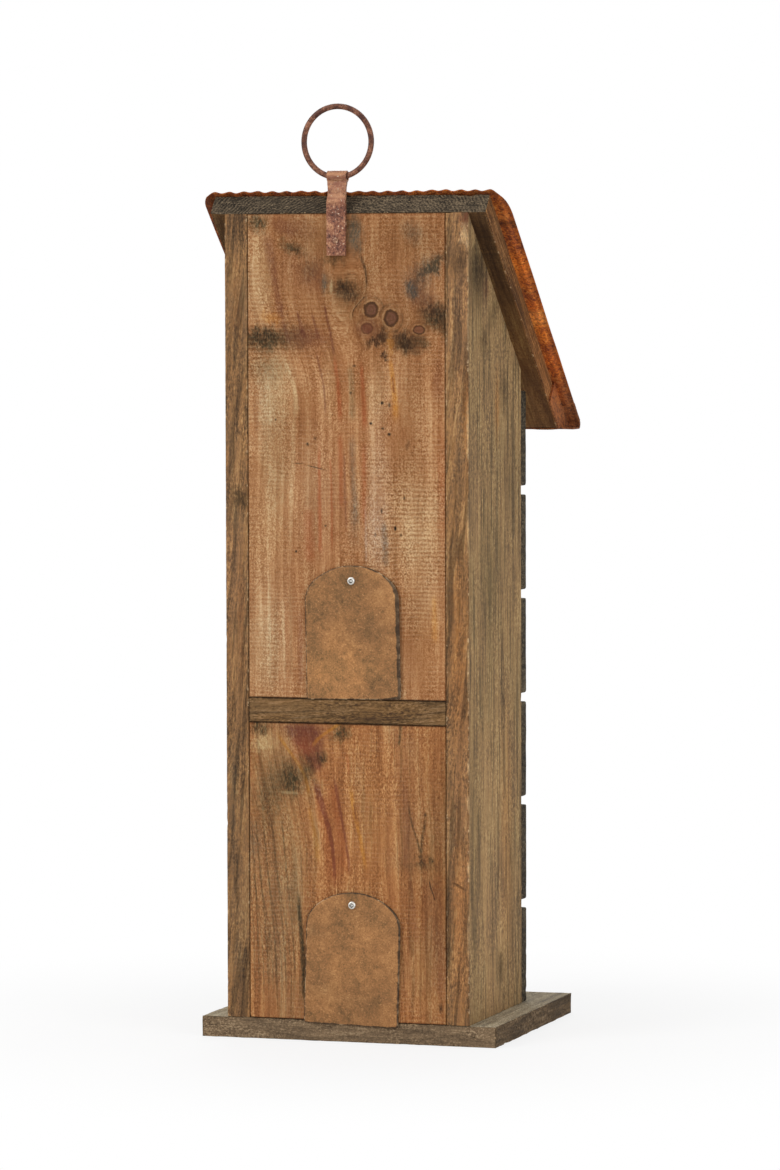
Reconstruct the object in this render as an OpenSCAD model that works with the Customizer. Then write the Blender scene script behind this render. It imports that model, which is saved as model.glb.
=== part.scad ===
/* [Base] */
// Width of the base board, left to right
base_w = 185; // [170:1:210]
// Depth of the base board, front to back
base_d = 164; // [150:1:190]
// Thickness of the base board
base_t = 12.7; // [9:0.1:19]
// Easing on the edges of every board
edge_ease = 0.7; // [0.3:0.1:1]

/* [Body] */
// Outside width of the body
body_w = 152; // [140:1:166]
// Thickness of a side panel
side_t = 14; // [12:0.5:18]
// Depth of a side panel, back to front
side_d = 110; // [95:1:115]
// Height of the body's back above the base
back_h = 482; // [460:1:520]
// Thickness of the inset back and front panels
panel_t = 12; // [10:0.5:16]
// Height of the middle floor's underside above the base
floor_h = 178.2; // [170:0.2:200]
// Thickness of the middle floor
floor_t = 14.8; // [12:0.2:18]

/* [Front slats] */
// Gap between two slats
slat_gap = 5.4; // [2:0.2:6]
// How far the gap between the two storeys' slats stands above the middle of the floor's edge
slat_joint_up = 1.9; // [-2:0.1:3]
// Gap between the top slat and the roof board
slat_roof_gap = 3.7; // [1:0.1:8]
// Thickness of a slat
slat_t = 11; // [8:0.5:14]
// Rounding of a slat's front edges
slat_round = 2.5; // [1:0.25:3]
// Diameter of an entrance hole
entry_d = 36; // [28:1:44]

/* [Roof] */
// Slope of the roof from level
roof_pitch = 40.5; // [36:0.5:43]
// Width of the roof board
roof_w = 172; // [160:1:190]
// Thickness of the roof board
roof_t = 14; // [10:0.5:18]
// Height of the level cut at the roof board's low end
eave_z = 364.3; // [355:0.1:375]
// Plumb cut that takes the sharp nose off the low end
nose_cut = 2.7; // [1.5:0.1:5]
// Sideways offset of the roof from the body's centre
roof_shift = -0.8; // [-2:0.1:2]

/* [Roof sheet] */
// How far the rippled metal sheet runs past the roof board on each side
sheet_overhang = 9; // [3:0.5:14]
// Thickness of the sheet
sheet_t = 0.9; // [0.5:0.1:1.5]
// Height of a ripple
ripple_h = 1.2; // [0.5:0.1:2]
// Spacing of the ripples
ripple_pitch = 9.05; // [7:0.05:12]
// How far the sheet runs past the roof board's high end
sheet_lap = 1.8; // [0:0.1:3]
// How far down the slope the sheet's high left corner is rounded off
corner_run_left = 23; // [6:0.5:30]
// How far down the slope the sheet's high right corner is rounded off
corner_run_right = 13; // [6:0.5:30]
// Length of the folded hem along the low end
hem_len = 16; // [10:0.5:24]
// Thickness of the hem above the board
hem_t = 2.6; // [2.4:0.1:3.5]
// Thickness of the sheet where it turns under the board
tuck_t = 1.1; // [0.8:0.1:2]
// Length tucked under the level cut
tuck_len = 15; // [8:0.5:20]
// Radius of the folded nose
nose_r = 3; // [2.2:0.1:4]
// How far the folded nose stands in front of the board
nose_out = 1.9; // [1.5:0.1:2.8]
// Length of the corner folded down over the board's side
corner_fold_len = 26; // [18:0.5:34]
// Thickness of the folded corner
corner_fold_t = 1.2; // [0.8:0.1:1.6]

/* [Clean-out doors] */
// Width of a door
door_w = 59; // [52:0.5:64]
// Height of a door
door_h = 79.7; // [72:0.1:84]
// Rise of a door's arched top
door_rise = 21; // [18:0.5:26]
// Radius of the arch at the door's shoulders
door_shoulder_r = 16; // [12:0.5:17]
// Radius of a door's bottom corners
door_corner_r = 1.5; // [0.5:0.25:3]
// Thickness of a door
door_t = 1.3; // [0.8:0.1:2]
// Gap between a door and the wood behind it, and under the screw head
door_gap = 0.1; // [0.05:0.01:0.3]
// Sideways place of both pivots
pivot_x = -3.5; // [-6:0.5:6]
// Upper pivot below its door's top
upper_pivot_drop = 9.1; // [7:0.1:10]
// Lower pivot below its door's top
lower_pivot_drop = 7.5; // [7:0.1:10]
// How far the upper door's foot stands above the middle floor's top
upper_door_lift = 0.1; // [0:0.1:10]
// How far the lower door's foot hangs below the base's top
lower_door_hang = 2.2; // [0:0.1:3]
// How far the upper door's middle lies beside its pivot
upper_door_aside = 0.1; // [-2:0.1:2]
// How far the lower door's middle lies beside its pivot
lower_door_aside = 0.9; // [-2:0.1:2]
// Tilt that the upper door was left at
upper_tilt = 1; // [-4:0.1:4]
// Tilt that the lower door was left at
lower_tilt = -1.6; // [-4:0.1:4]
// Wood left around the opening at a door's sides and bottom
opening_margin = 8; // [5:0.5:10]
// Wood left above the opening, under a door's top
opening_top_margin = 15; // [13:0.5:18]

/* [Door screws] */
// Diameter of a screw's shank
screw_d = 2.4; // [2:0.1:3]
// Clearance of a door's hole around the shank
screw_clearance = 0.08; // [0.04:0.01:0.1]
// Diameter of a screw's head
screw_head_d = 4.5; // [4:0.1:6]
// Height of a screw's head
screw_head_h = 1.5; // [1:0.1:2]
// How deep a screw goes into the wood
screw_bite = 10; // [6:0.5:11]

/* [Hanger] */
// Width of the hanger strap
strap_w = 12; // [8:0.5:16]
// Thickness of one layer of the strap
strap_t = 1.25; // [0.8:0.05:1.6]
// Slit between the strap's two layers
fold_gap = 0.2; // [0.1:0.05:0.4]
// Sideways place of the hanger
hanger_x = 5.2; // [-10:0.1:10]
// Height of the strap's lower end
strap_low_z = 469.5; // [462:0.5:475]
// Height at which the strap bends inward
strap_bend_z = 500.5; // [498:0.5:502]
// Height of the loop's centre
loop_z = 516.35; // [515:0.05:519]
// How far the loop's centre stands behind the body's back
loop_out = -1.5; // [-2:0.1:0.5]
// Outside diameter of the ring
ring_d = 45.3; // [40:0.1:50]
// Diameter of the ring's wire
ring_wire_d = 3.4; // [2.6:0.1:3.8]
// Clearance of the ring's wire in the loop
ring_clearance = 0.06; // [0.03:0.01:0.1]
// Height of the nail through the strap
strap_nail_z = 478.5; // [474:0.5:486]

/* [Nails] */
// Diameter of a slat nail's shank
nail_d = 1.8; // [1.4:0.1:2.2]
// Diameter of a slat nail's head
nail_head_d = 3.4; // [3:0.1:4.5]
// Height of a slat nail's head
nail_head_h = 0.7; // [0.5:0.1:1]
// How deep a slat nail goes into the side panel
nail_bite = 14; // [10:0.5:20]
// Height between the two nails in a slat's end
nail_rise = 32; // [26:1:36]
// Diameter of a roof nail's head
roof_nail_head_d = 7; // [6:0.5:9]
// Nails along each side of the roof
roof_nail_count = 3; // [2:1:4]
// First roof nail below the roof's high end
roof_nail_start = 24; // [20:1:30]
// Last roof nail below the roof's high end
roof_nail_end = 118; // [90:1:125]
// How deep the roof and base nails go into the side panels
long_bite = 20; // [15:1:24]
// Diameter of a base nail's head
base_nail_head_d = 5; // [4:0.1:6]
// How far a base nail's head is sunk under the base
base_nail_sink = 0.4; // [0.2:0.1:0.8]
// Distance of a base nail from the side panel's front and back edges
base_nail_inset = 22; // [15:1:30]

/* [Hidden] */
cut = 1;
round_fn = 48;
arc_step = 6;
storey_slats = 3;
slat_count = 2 * storey_slats;
lower_entry_slat = 2;
upper_entry_slat = lower_entry_slat + storey_slats;

back_y = base_d / 2;
front_y = back_y - side_d;
slat_front_y = front_y - slat_t;
inner_w = body_w - 2 * side_t;
side_x = body_w / 2 - side_t / 2;
roof_z = base_t + back_h;
floor_z = base_t + floor_h;
chamber_z = floor_z + floor_t;

nose_z = eave_z + nose_cut;
roof_top_y = back_y - roof_t * sin(roof_pitch);
roof_top_z = roof_z + roof_t * cos(roof_pitch);
nose_y = roof_top_y - (roof_top_z - nose_z) / tan(roof_pitch);
eave_y = back_y - (roof_z - eave_z) / tan(roof_pitch);
roof_len = (roof_top_y - nose_y) / cos(roof_pitch);
crest_h = ripple_h + sheet_t;
sheet_w = roof_w + 2 * sheet_overhang;

upper_reach = door_h - upper_pivot_drop;
lower_reach = door_h - lower_pivot_drop;
upper_pivot_z = chamber_z + upper_door_lift + upper_reach;
lower_pivot_z = base_t - lower_door_hang + lower_reach;
door_back_y = back_y + door_gap;
door_face_y = door_back_y + door_t;
screw_seat_y = door_face_y + door_gap;
opening_w = door_w - 2 * opening_margin;
opening_h = door_h - opening_margin - opening_top_margin;

fold_t = 2 * strap_t + fold_gap;
strap_y = back_y + fold_t / 2;
strap_face_y = back_y + fold_t;
loop_y = back_y + loop_out;
wire_r = ring_wire_d / 2;
ring_r = ring_d / 2 - wire_r;
ring_sag = ring_r - sqrt(pow(ring_r, 2) - pow(strap_w / 2, 2));
loop_r = wire_r + ring_sag / 2 + ring_clearance;
ring_z = loop_z - ring_sag / 2 + ring_r;

// Height of the roof board's underside at depth y
function roof_under(y) = roof_z + (y - back_y) * tan(roof_pitch);

// Lower edge of slat i, counted from 1 at the base: each storey's slats share its height
joint_z = floor_z + floor_t / 2 + slat_joint_up;
lower_slat_pitch = (joint_z + slat_gap / 2 - base_t) / storey_slats;
upper_slat_low_z = joint_z + slat_gap / 2;
upper_slat_pitch = (roof_under(slat_front_y) - slat_roof_gap + slat_gap - upper_slat_low_z) / storey_slats;
function slat_low_z(i) = i <= storey_slats
  ? base_t + (i - 1) * lower_slat_pitch
  : upper_slat_low_z + (i - 1 - storey_slats) * upper_slat_pitch;
function slat_h(i) = (i <= storey_slats ? lower_slat_pitch : upper_slat_pitch) - slat_gap;
function slat_mid_z(i) = slat_low_z(i) + slat_h(i) / 2;

// Points of an arc around c, from angle a0 to angle a1
function arc(c, r, a0, a1) =
  let (n = ceil(abs(a1 - a0) / arc_step))
  [for (k = [0:n]) c + r * [cos(a0 + (a1 - a0) * k / n), sin(a0 + (a1 - a0) * k / n)]];

// Rectangle between two corners with its corners cut at 45 degrees
function eased_rect(lo, hi, e) = [
  [lo[0] + e, lo[1]], [hi[0] - e, lo[1]], [hi[0], lo[1] + e], [hi[0], hi[1] - e],
  [hi[0] - e, hi[1]], [lo[0] + e, hi[1]], [lo[0], hi[1] - e], [lo[0], lo[1] + e]
];

// Door-shaped outline: square foot with rounded corners and a three-centred arch on top
function arch_outline(w, h, rise, shoulder, corner) =
  let (
    a = w / 2 - shoulder,
    spring = h - rise,
    crown = (a * a + rise * rise - shoulder * shoulder) / (2 * (rise - shoulder)),
    turn = atan2(a, crown - rise)
  )
  concat(
    arc([-w / 2 + corner, corner], corner, 180, 270),
    arc([w / 2 - corner, corner], corner, 270, 360),
    arc([a, spring], shoulder, 0, 90 - turn),
    arc([0, h - crown], crown, 90 - turn + arc_step / 2, 90 + turn - arc_step / 2),
    arc([-a, spring], shoulder, 90 + turn, 180)
  );

// Outline of a flat strip of thickness t bent along a path
function unit(v) = v / norm(v);
function left_of(v) = [-v[1], v[0]];
function heading(path, i) = unit(path[i + 1] - path[i]);
function miter(path, i) =
  let (
    last = len(path) - 1,
    before = left_of(heading(path, max(i - 1, 0))),
    after = left_of(heading(path, min(i, last - 1))),
    m = unit(before + after)
  )
  m / (m * before);
function strip(path, t) = concat(
  [for (i = [0:len(path) - 1]) path[i] + miter(path, i) * t / 2],
  [for (i = [len(path) - 1:-1:0]) path[i] - miter(path, i) * t / 2]
);

// Outline drawn in depth and height, made w wide and centred at x
module along_x(w, x = 0) {
  translate([x - w / 2, 0, 0]) rotate([90, 0, 90]) linear_extrude(height = w) children();
}

// Outline drawn in width and height, made t thick and lying in front of depth y
module in_front_of(y, t) {
  translate([0, y, 0]) rotate([90, 0, 0]) linear_extrude(height = t) children();
}

// Board with all its edges eased, between two corners
module eased_board(lo, hi) {
  intersection() {
    translate([0, 0, lo[2]]) linear_extrude(height = hi[2] - lo[2])
      polygon(eased_rect([lo[0], lo[1]], [hi[0], hi[1]], edge_ease));
    along_x(hi[0] - lo[0], (lo[0] + hi[0]) / 2)
      polygon(eased_rect([lo[1], lo[2]], [hi[1], hi[2]], edge_ease));
    in_front_of(hi[1], hi[1] - lo[1])
      polygon(eased_rect([lo[0], lo[2]], [hi[0], hi[2]], edge_ease));
  }
}

// Upright bounds that ease the vertical edges of a panel
module eased_column(lo, hi) {
  linear_extrude(height = roof_z + cut) polygon(eased_rect(lo, hi, edge_ease));
}

// Places in the roof board's own frame: level with its top face, running down the slope
module on_roof(x, down) {
  translate([x, roof_top_y, roof_top_z]) rotate([roof_pitch, 0, 0]) translate([0, -down, 0]) children();
}

// Straight shank that runs from its seat into the wood, along +Z
module shank(d, len) {
  cylinder(h = len, d = d, $fn = round_fn);
}

// Nail that points along +Z with its domed head below the seat
module nail(d, len, head_d, head_h) {
  shank(d, len);
  rotate_extrude($fn = round_fn)
    polygon(concat([[0, 0], [head_d / 2, 0]],
      [for (a = [0:15:90]) [head_d / 2 * cos(a), -head_h / 2 - head_h / 2 * sin(a)]]));
}

module at_slat_nails() {
  for (i = [1:slat_count], side = [-1, 1], step = [-1, 1])
    translate([side * side_x, slat_front_y, slat_mid_z(i) + step * nail_rise / 2])
      rotate([-90, 0, 0]) children();
}

module at_base_nails() {
  for (side = [-1, 1], y = [front_y + base_nail_inset, back_y - base_nail_inset])
    translate([side * side_x, y, base_nail_sink + nail_head_h]) children();
}

module at_roof_nails() {
  for (side = [-1, 1], k = [0:roof_nail_count - 1])
    on_roof(side * side_x, roof_nail_start + k * (roof_nail_end - roof_nail_start) / (roof_nail_count - 1))
      translate([0, 0, crest_h]) rotate([180, 0, 0]) children();
}

module at_screw(z) {
  translate([pivot_x, screw_seat_y, z]) rotate([90, 0, 0]) children();
}

module at_strap_nail() {
  translate([hanger_x, strap_face_y, strap_nail_z]) rotate([90, 0, 0]) children();
}

module slat_nail_holes() { at_slat_nails() shank(nail_d, slat_t + nail_bite); }
module base_nail_holes() { at_base_nails() shank(nail_d, base_t + long_bite); }
module roof_nail_holes() { at_roof_nails() shank(nail_d, crest_h + roof_t + long_bite); }

module entrance_hole(i) {
  translate([0, front_y + panel_t + cut, slat_mid_z(i)]) rotate([90, 0, 0])
    cylinder(h = panel_t + slat_t + 2 * cut, d = entry_d, $fn = 2 * round_fn);
}

module base_board() {
  color("#5d5142") difference() {
    eased_board([-base_w / 2, -base_d / 2, 0], [base_w / 2, back_y, base_t]);
    base_nail_holes();
    at_base_nails() translate([0, 0, -base_t]) cylinder(h = base_t, d = base_nail_head_d, $fn = round_fn);
  }
}

module side_panel(side) {
  color("#75603f") difference() {
    intersection() {
      along_x(side_t, side * side_x)
        polygon([
          [front_y, base_t], [back_y, base_t],
          [back_y, roof_z], [front_y, roof_under(front_y)]
        ]);
      eased_column([side * side_x - side_t / 2, front_y], [side * side_x + side_t / 2, back_y]);
    }
    slat_nail_holes();
    base_nail_holes();
    roof_nail_holes();
  }
}

module middle_floor() {
  color("#4b3a28") eased_board([-inner_w / 2, front_y, floor_z], [inner_w / 2, back_y, chamber_z]);
}

// Panel inset between the side panels, its outer face at depth y and its inner face at depth y_in
module inset_panel(y, y_in, low, high_out, high_in) {
  intersection() {
    along_x(inner_w) polygon([[y, low], [y, high_out], [y_in, high_in], [y_in, low]]);
    eased_column([-inner_w / 2, min(y, y_in)], [inner_w / 2, max(y, y_in)]);
  }
}

module cleanout_opening(pivot_z, reach) {
  translate([pivot_x, 0, pivot_z - reach + opening_margin]) in_front_of(back_y + cut, panel_t + 2 * cut)
    polygon(arch_outline(opening_w, opening_h, door_rise - opening_margin,
      door_shoulder_r - opening_margin, door_corner_r));
  at_screw(pivot_z) shank(screw_d, screw_seat_y - back_y + screw_bite);
}

module upper_back_panel() {
  inner_y = back_y - panel_t;
  color("#9a6236") difference() {
    inset_panel(back_y, inner_y, chamber_z, roof_z, roof_under(inner_y));
    cleanout_opening(upper_pivot_z, upper_reach);
    at_strap_nail() shank(nail_d, fold_t + screw_bite);
  }
}

module lower_back_panel() {
  color("#93592f") difference() {
    inset_panel(back_y, back_y - panel_t, base_t, floor_z, floor_z);
    cleanout_opening(lower_pivot_z, lower_reach);
  }
}

module upper_front_panel() {
  inner_y = front_y + panel_t;
  color("#8a5f3a") difference() {
    inset_panel(front_y, inner_y, chamber_z, roof_under(front_y), roof_under(inner_y));
    entrance_hole(upper_entry_slat);
  }
}

module lower_front_panel() {
  color("#8a5f3a") difference() {
    inset_panel(front_y, front_y + panel_t, base_t, floor_z, floor_z);
    entrance_hole(lower_entry_slat);
  }
}

module front_slat(i) {
  low = slat_low_z(i);
  high = low + slat_h(i);
  color("#4e4436") difference() {
    along_x(body_w) polygon(concat(
      [[front_y, low]], [[front_y, high]],
      arc([slat_front_y + slat_round, high - slat_round], slat_round, 90, 180),
      arc([slat_front_y + slat_round, low + slat_round], slat_round, 180, 270)
    ));
    slat_nail_holes();
    if (i == lower_entry_slat || i == upper_entry_slat) entrance_hole(i);
  }
}

module roof_board() {
  color("#5a5040") difference() {
    along_x(roof_w, roof_shift) polygon([
      [back_y, roof_z], [roof_top_y, roof_top_z], [nose_y, nose_z],
      [nose_y, eave_z], [eave_y, eave_z]
    ]);
    roof_nail_holes();
  }
}

// Height of the sheet's lower face above the board, at width x
function ripple(x) = ripple_h * (1 - cos(360 * x / ripple_pitch)) / 2;

// Ripples run down the slope, from the lap at the high end to the hem
module rippled_sheet() {
  half = sheet_w / 2;
  n = ceil(sheet_w / ripple_pitch) * 8;
  xs = [for (k = [0:n]) -half + sheet_w * k / n];
  on_roof(roof_shift, roof_len) rotate([90, 0, 0]) mirror([0, 0, 1])
    linear_extrude(height = roof_len + sheet_lap)
      polygon(concat(
        [for (x = xs) [x, ripple(x)]],
        [for (k = [n:-1:0]) [xs[k], ripple(xs[k]) + sheet_t]]
      ));
}

// Waste of a high corner of the sheet, outside an arc from the board's side to the sheet's edge
module corner_waste(side, run) {
  on_roof(roof_shift + side * roof_w / 2, -sheet_lap) scale([side, 1, 1])
    translate([0, 0, -cut]) linear_extrude(height = crest_h + 2 * cut)
      polygon(concat(
        [[sheet_overhang + cut, -run], [sheet_overhang + cut, cut], [0, cut]],
        [for (a = [90:-arc_step:0]) [sheet_overhang * cos(a), run * (sin(a) - 1)]]
      ));
}

// Hem that wraps the board's low end and tucks under its level cut
module hem() {
  c = [nose_y - nose_out + nose_r, eave_z - tuck_t + nose_r];
  start = [nose_y, nose_z] + hem_len * [cos(roof_pitch), sin(roof_pitch)];
  along_x(sheet_w, roof_shift) polygon(concat(
    [start, start + hem_t * [-sin(roof_pitch), cos(roof_pitch)]],
    arc(c, nose_r, 90 + roof_pitch, 270),
    [[nose_y + tuck_len, eave_z - tuck_t], [nose_y + tuck_len, eave_z], [nose_y, eave_z], [nose_y, nose_z]]
  ));
}

// Corner of the sheet folded down against the side of the roof board
module folded_corner(side) {
  up = corner_fold_len * [cos(roof_pitch), sin(roof_pitch)];
  over = (roof_t + sheet_t) * [-sin(roof_pitch), cos(roof_pitch)];
  along_x(corner_fold_t, roof_shift + side * (roof_w + corner_fold_t) / 2) polygon([
    [eave_y, eave_z], [eave_y, eave_z] + up, [eave_y, eave_z] + up + over,
    [nose_y, nose_z + sheet_t], [nose_y - nose_out / 2, nose_z],
    [nose_y - nose_out / 2, eave_z - tuck_t / 2], [nose_y + tuck_len, eave_z - tuck_t / 2],
    [nose_y + tuck_len, eave_z]
  ]);
}

module roof_sheet() {
  color("#96451a") difference() {
    union() {
      rippled_sheet();
      hem();
      folded_corner(-1);
      folded_corner(1);
    }
    roof_nail_holes();
    corner_waste(-1, corner_run_left);
    corner_waste(1, corner_run_right);
  }
}

// Door on its screw: its foot is reach below the pivot, and its middle lies aside of it
module cleanout_door(pivot_z, reach, aside, tilt) {
  color("#7a5a2c") translate([pivot_x, 0, pivot_z]) rotate([0, tilt, 0]) difference() {
    translate([-aside, 0, -reach]) in_front_of(door_face_y, door_t)
      polygon(arch_outline(door_w, door_h, door_rise, door_shoulder_r, door_corner_r));
    translate([0, door_face_y + cut, 0]) rotate([90, 0, 0])
      cylinder(h = door_t + 2 * cut, d = screw_d + 2 * screw_clearance, $fn = round_fn);
  }
}

module door_screw(z) {
  slot_w = screw_head_d / 6;
  slot_l = screw_head_d * 0.6;
  color("#b9bcbf") at_screw(z) difference() {
    nail(screw_d, screw_seat_y - back_y + screw_bite, screw_head_d, screw_head_h);
    for (turn = [0, 90]) rotate([0, 0, turn]) translate([-slot_l / 2, -slot_w / 2, -screw_head_h])
      cube([slot_l, slot_w, screw_head_h * 0.6]);
  }
}

// Strip folded in two round the ring: both ends lie on the back panel, the fold is the ring's bearing
module hanger_strap() {
  bend = [strap_y, strap_bend_z];
  loop = [loop_y, loop_z];
  color("#7d4a34") difference() {
    union() {
      along_x(strap_w, hanger_x) polygon(strip([[strap_y, strap_low_z], bend, loop], fold_t));
      translate([hanger_x - strap_w / 2, loop_y, loop_z]) rotate([0, 90, 0])
        cylinder(h = strap_w, r = loop_r + strap_t, $fn = round_fn);
    }
    along_x(strap_w + 2 * cut, hanger_x)
      polygon(strip([[strap_y, strap_low_z - cut], bend, loop], fold_gap));
    translate([hanger_x - strap_w / 2 - cut, loop_y, loop_z]) rotate([0, 90, 0])
      cylinder(h = strap_w + 2 * cut, r = loop_r, $fn = round_fn);
    at_strap_nail() shank(nail_d, fold_t + screw_bite);
  }
}

module hanger_ring() {
  color("#5d4038") translate([hanger_x, loop_y, ring_z]) rotate([90, 0, 0])
    rotate_extrude($fn = 2 * round_fn) translate([ring_r, 0]) circle(r = wire_r, $fn = round_fn);
}

module strap_nail() {
  color("#9c7a62") at_strap_nail() nail(nail_d, fold_t + screw_bite, nail_head_d, nail_head_h);
}

module slat_nails() {
  color("#6b6864") at_slat_nails() nail(nail_d, slat_t + nail_bite, nail_head_d, nail_head_h);
}

module roof_nails() {
  color("#6b6864") at_roof_nails()
    nail(nail_d, crest_h + roof_t + long_bite, roof_nail_head_d, nail_head_h);
}

module base_nails() {
  color("#6b6864") at_base_nails() nail(nail_d, base_t + long_bite, base_nail_head_d, nail_head_h);
}

base_board();
side_panel(-1);  // left_side_panel
side_panel(1);  // right_side_panel
middle_floor();
upper_back_panel();
lower_back_panel();
upper_front_panel();
lower_front_panel();
front_slat(1);  // front_slat_1
front_slat(2);  // front_slat_2
front_slat(3);  // front_slat_3
front_slat(4);  // front_slat_4
front_slat(5);  // front_slat_5
front_slat(6);  // front_slat_6
roof_board();
roof_sheet();
cleanout_door(upper_pivot_z, upper_reach, upper_door_aside, upper_tilt);  // upper_cleanout_door
cleanout_door(lower_pivot_z, lower_reach, lower_door_aside, lower_tilt);  // lower_cleanout_door
door_screw(upper_pivot_z);  // upper_door_screw
door_screw(lower_pivot_z);  // lower_door_screw
hanger_strap();
hanger_ring();
strap_nail();
slat_nails();
roof_nails();
base_nails();
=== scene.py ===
"""Two-tier birdhouse, dressed: worn pine boards, a rusted rippled roof, bronze doors, strap and ring."""

import logging
import math
from dataclasses import dataclass, field
from enum import Enum
from typing import Callable, Optional, Sequence, Union

import bmesh
import bpy
from mathutils import Matrix, Vector, noise


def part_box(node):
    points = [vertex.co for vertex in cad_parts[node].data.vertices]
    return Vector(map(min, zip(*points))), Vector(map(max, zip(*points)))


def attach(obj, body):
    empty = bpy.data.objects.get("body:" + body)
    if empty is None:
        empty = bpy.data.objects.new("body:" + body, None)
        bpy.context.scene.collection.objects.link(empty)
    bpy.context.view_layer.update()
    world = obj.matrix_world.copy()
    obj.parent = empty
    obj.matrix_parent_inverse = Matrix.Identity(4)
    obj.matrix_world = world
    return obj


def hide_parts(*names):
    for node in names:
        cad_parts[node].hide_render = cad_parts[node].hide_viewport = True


logging.basicConfig(level=logging.INFO, format="%(message)s")
log = logging.getLogger("birdhouse")

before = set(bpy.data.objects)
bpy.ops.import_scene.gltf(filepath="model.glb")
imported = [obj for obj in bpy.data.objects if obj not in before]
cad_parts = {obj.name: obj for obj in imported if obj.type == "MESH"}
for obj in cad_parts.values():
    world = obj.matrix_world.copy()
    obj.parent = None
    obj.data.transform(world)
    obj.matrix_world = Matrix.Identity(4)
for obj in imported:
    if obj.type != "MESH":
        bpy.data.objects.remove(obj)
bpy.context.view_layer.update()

MM = 0.001
ROOF_PITCH = math.radians(40.5)
ROOF_TOP = Vector((-0.0008, 0.07291, 0.50535))

ORIGIN = (0.0, 0.0, 0.0)
FULL_TURN = 6.2832
FINE_MARK = 3.2

Colour = tuple[float, float, float, float]
Socket = bpy.types.NodeSocket
Feeds = dict[Union[str, int], "Value"]
Fill = Callable[..., dict[str, "Term"]]


def paint(code: str) -> Colour:
    """Turns a colour as it looks on screen into the linear one that the shader wants.

    Args:
        code: Six hex digits, such as "b07a4a".

    Returns:
        Linear red, green and blue, and an alpha of 1.
    """
    parts = [int(code[k : k + 2], 16) / 255 for k in (0, 2, 4)]
    linear = [c / 12.92 if c <= 0.04045 else ((c + 0.055) / 1.055) ** 2.4 for c in parts]
    return (linear[0], linear[1], linear[2], 1.0)


class Ink(Enum):
    """Colours of the stains, knots and worn places in the wood, and of a few painted shadows and shades."""

    SMUDGE_AND_SHADOW = paint("493823")
    GREY = paint("5b5243")
    OLIVE = paint("6d5c3e")
    RED = paint("a15732")
    OXBLOOD = paint("74432f")
    ORANGE = paint("b27233")
    BROWN = paint("7f5330")
    PALE = paint("c0976a")
    ROSE = paint("b18b6b")
    CREAM = paint("d2b288")
    HEART = paint("56352b")
    CRACK_AND_SHADE = paint("2a1f17")
    PLUM = paint("70483f")


class Grain(Enum):
    """Axis of the piece's own space that the wood fibres run along."""

    ALONG_X = "x"
    ALONG_Y = "y"
    ALONG_Z = "z"


@dataclass(frozen=True)
class Term:
    """One output of a node, to reckon with: each sign adds a Math node to its shade."""

    shade: "Shade"
    socket: Socket

    def __add__(self, other: "Value") -> "Term":
        """Adds."""
        return self.shade.math("ADD", self, other)

    def __radd__(self, other: "Value") -> "Term":
        """Adds to a plain number."""
        return self.shade.math("ADD", other, self)

    def __sub__(self, other: "Value") -> "Term":
        """Takes away."""
        return self.shade.math("SUBTRACT", self, other)

    def __rsub__(self, other: "Value") -> "Term":
        """Takes away from a plain number."""
        return self.shade.math("SUBTRACT", other, self)

    def __mul__(self, other: "Value") -> "Term":
        """Multiplies."""
        return self.shade.math("MULTIPLY", self, other)

    def __truediv__(self, other: "Value") -> "Term":
        """Divides."""
        return self.shade.math("DIVIDE", self, other)

    def __abs__(self) -> "Term":
        """Drops the sign."""
        return self.shade.math("ABSOLUTE", self)


Value = Union[float, Sequence[float], str, Ink, Term]


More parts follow.
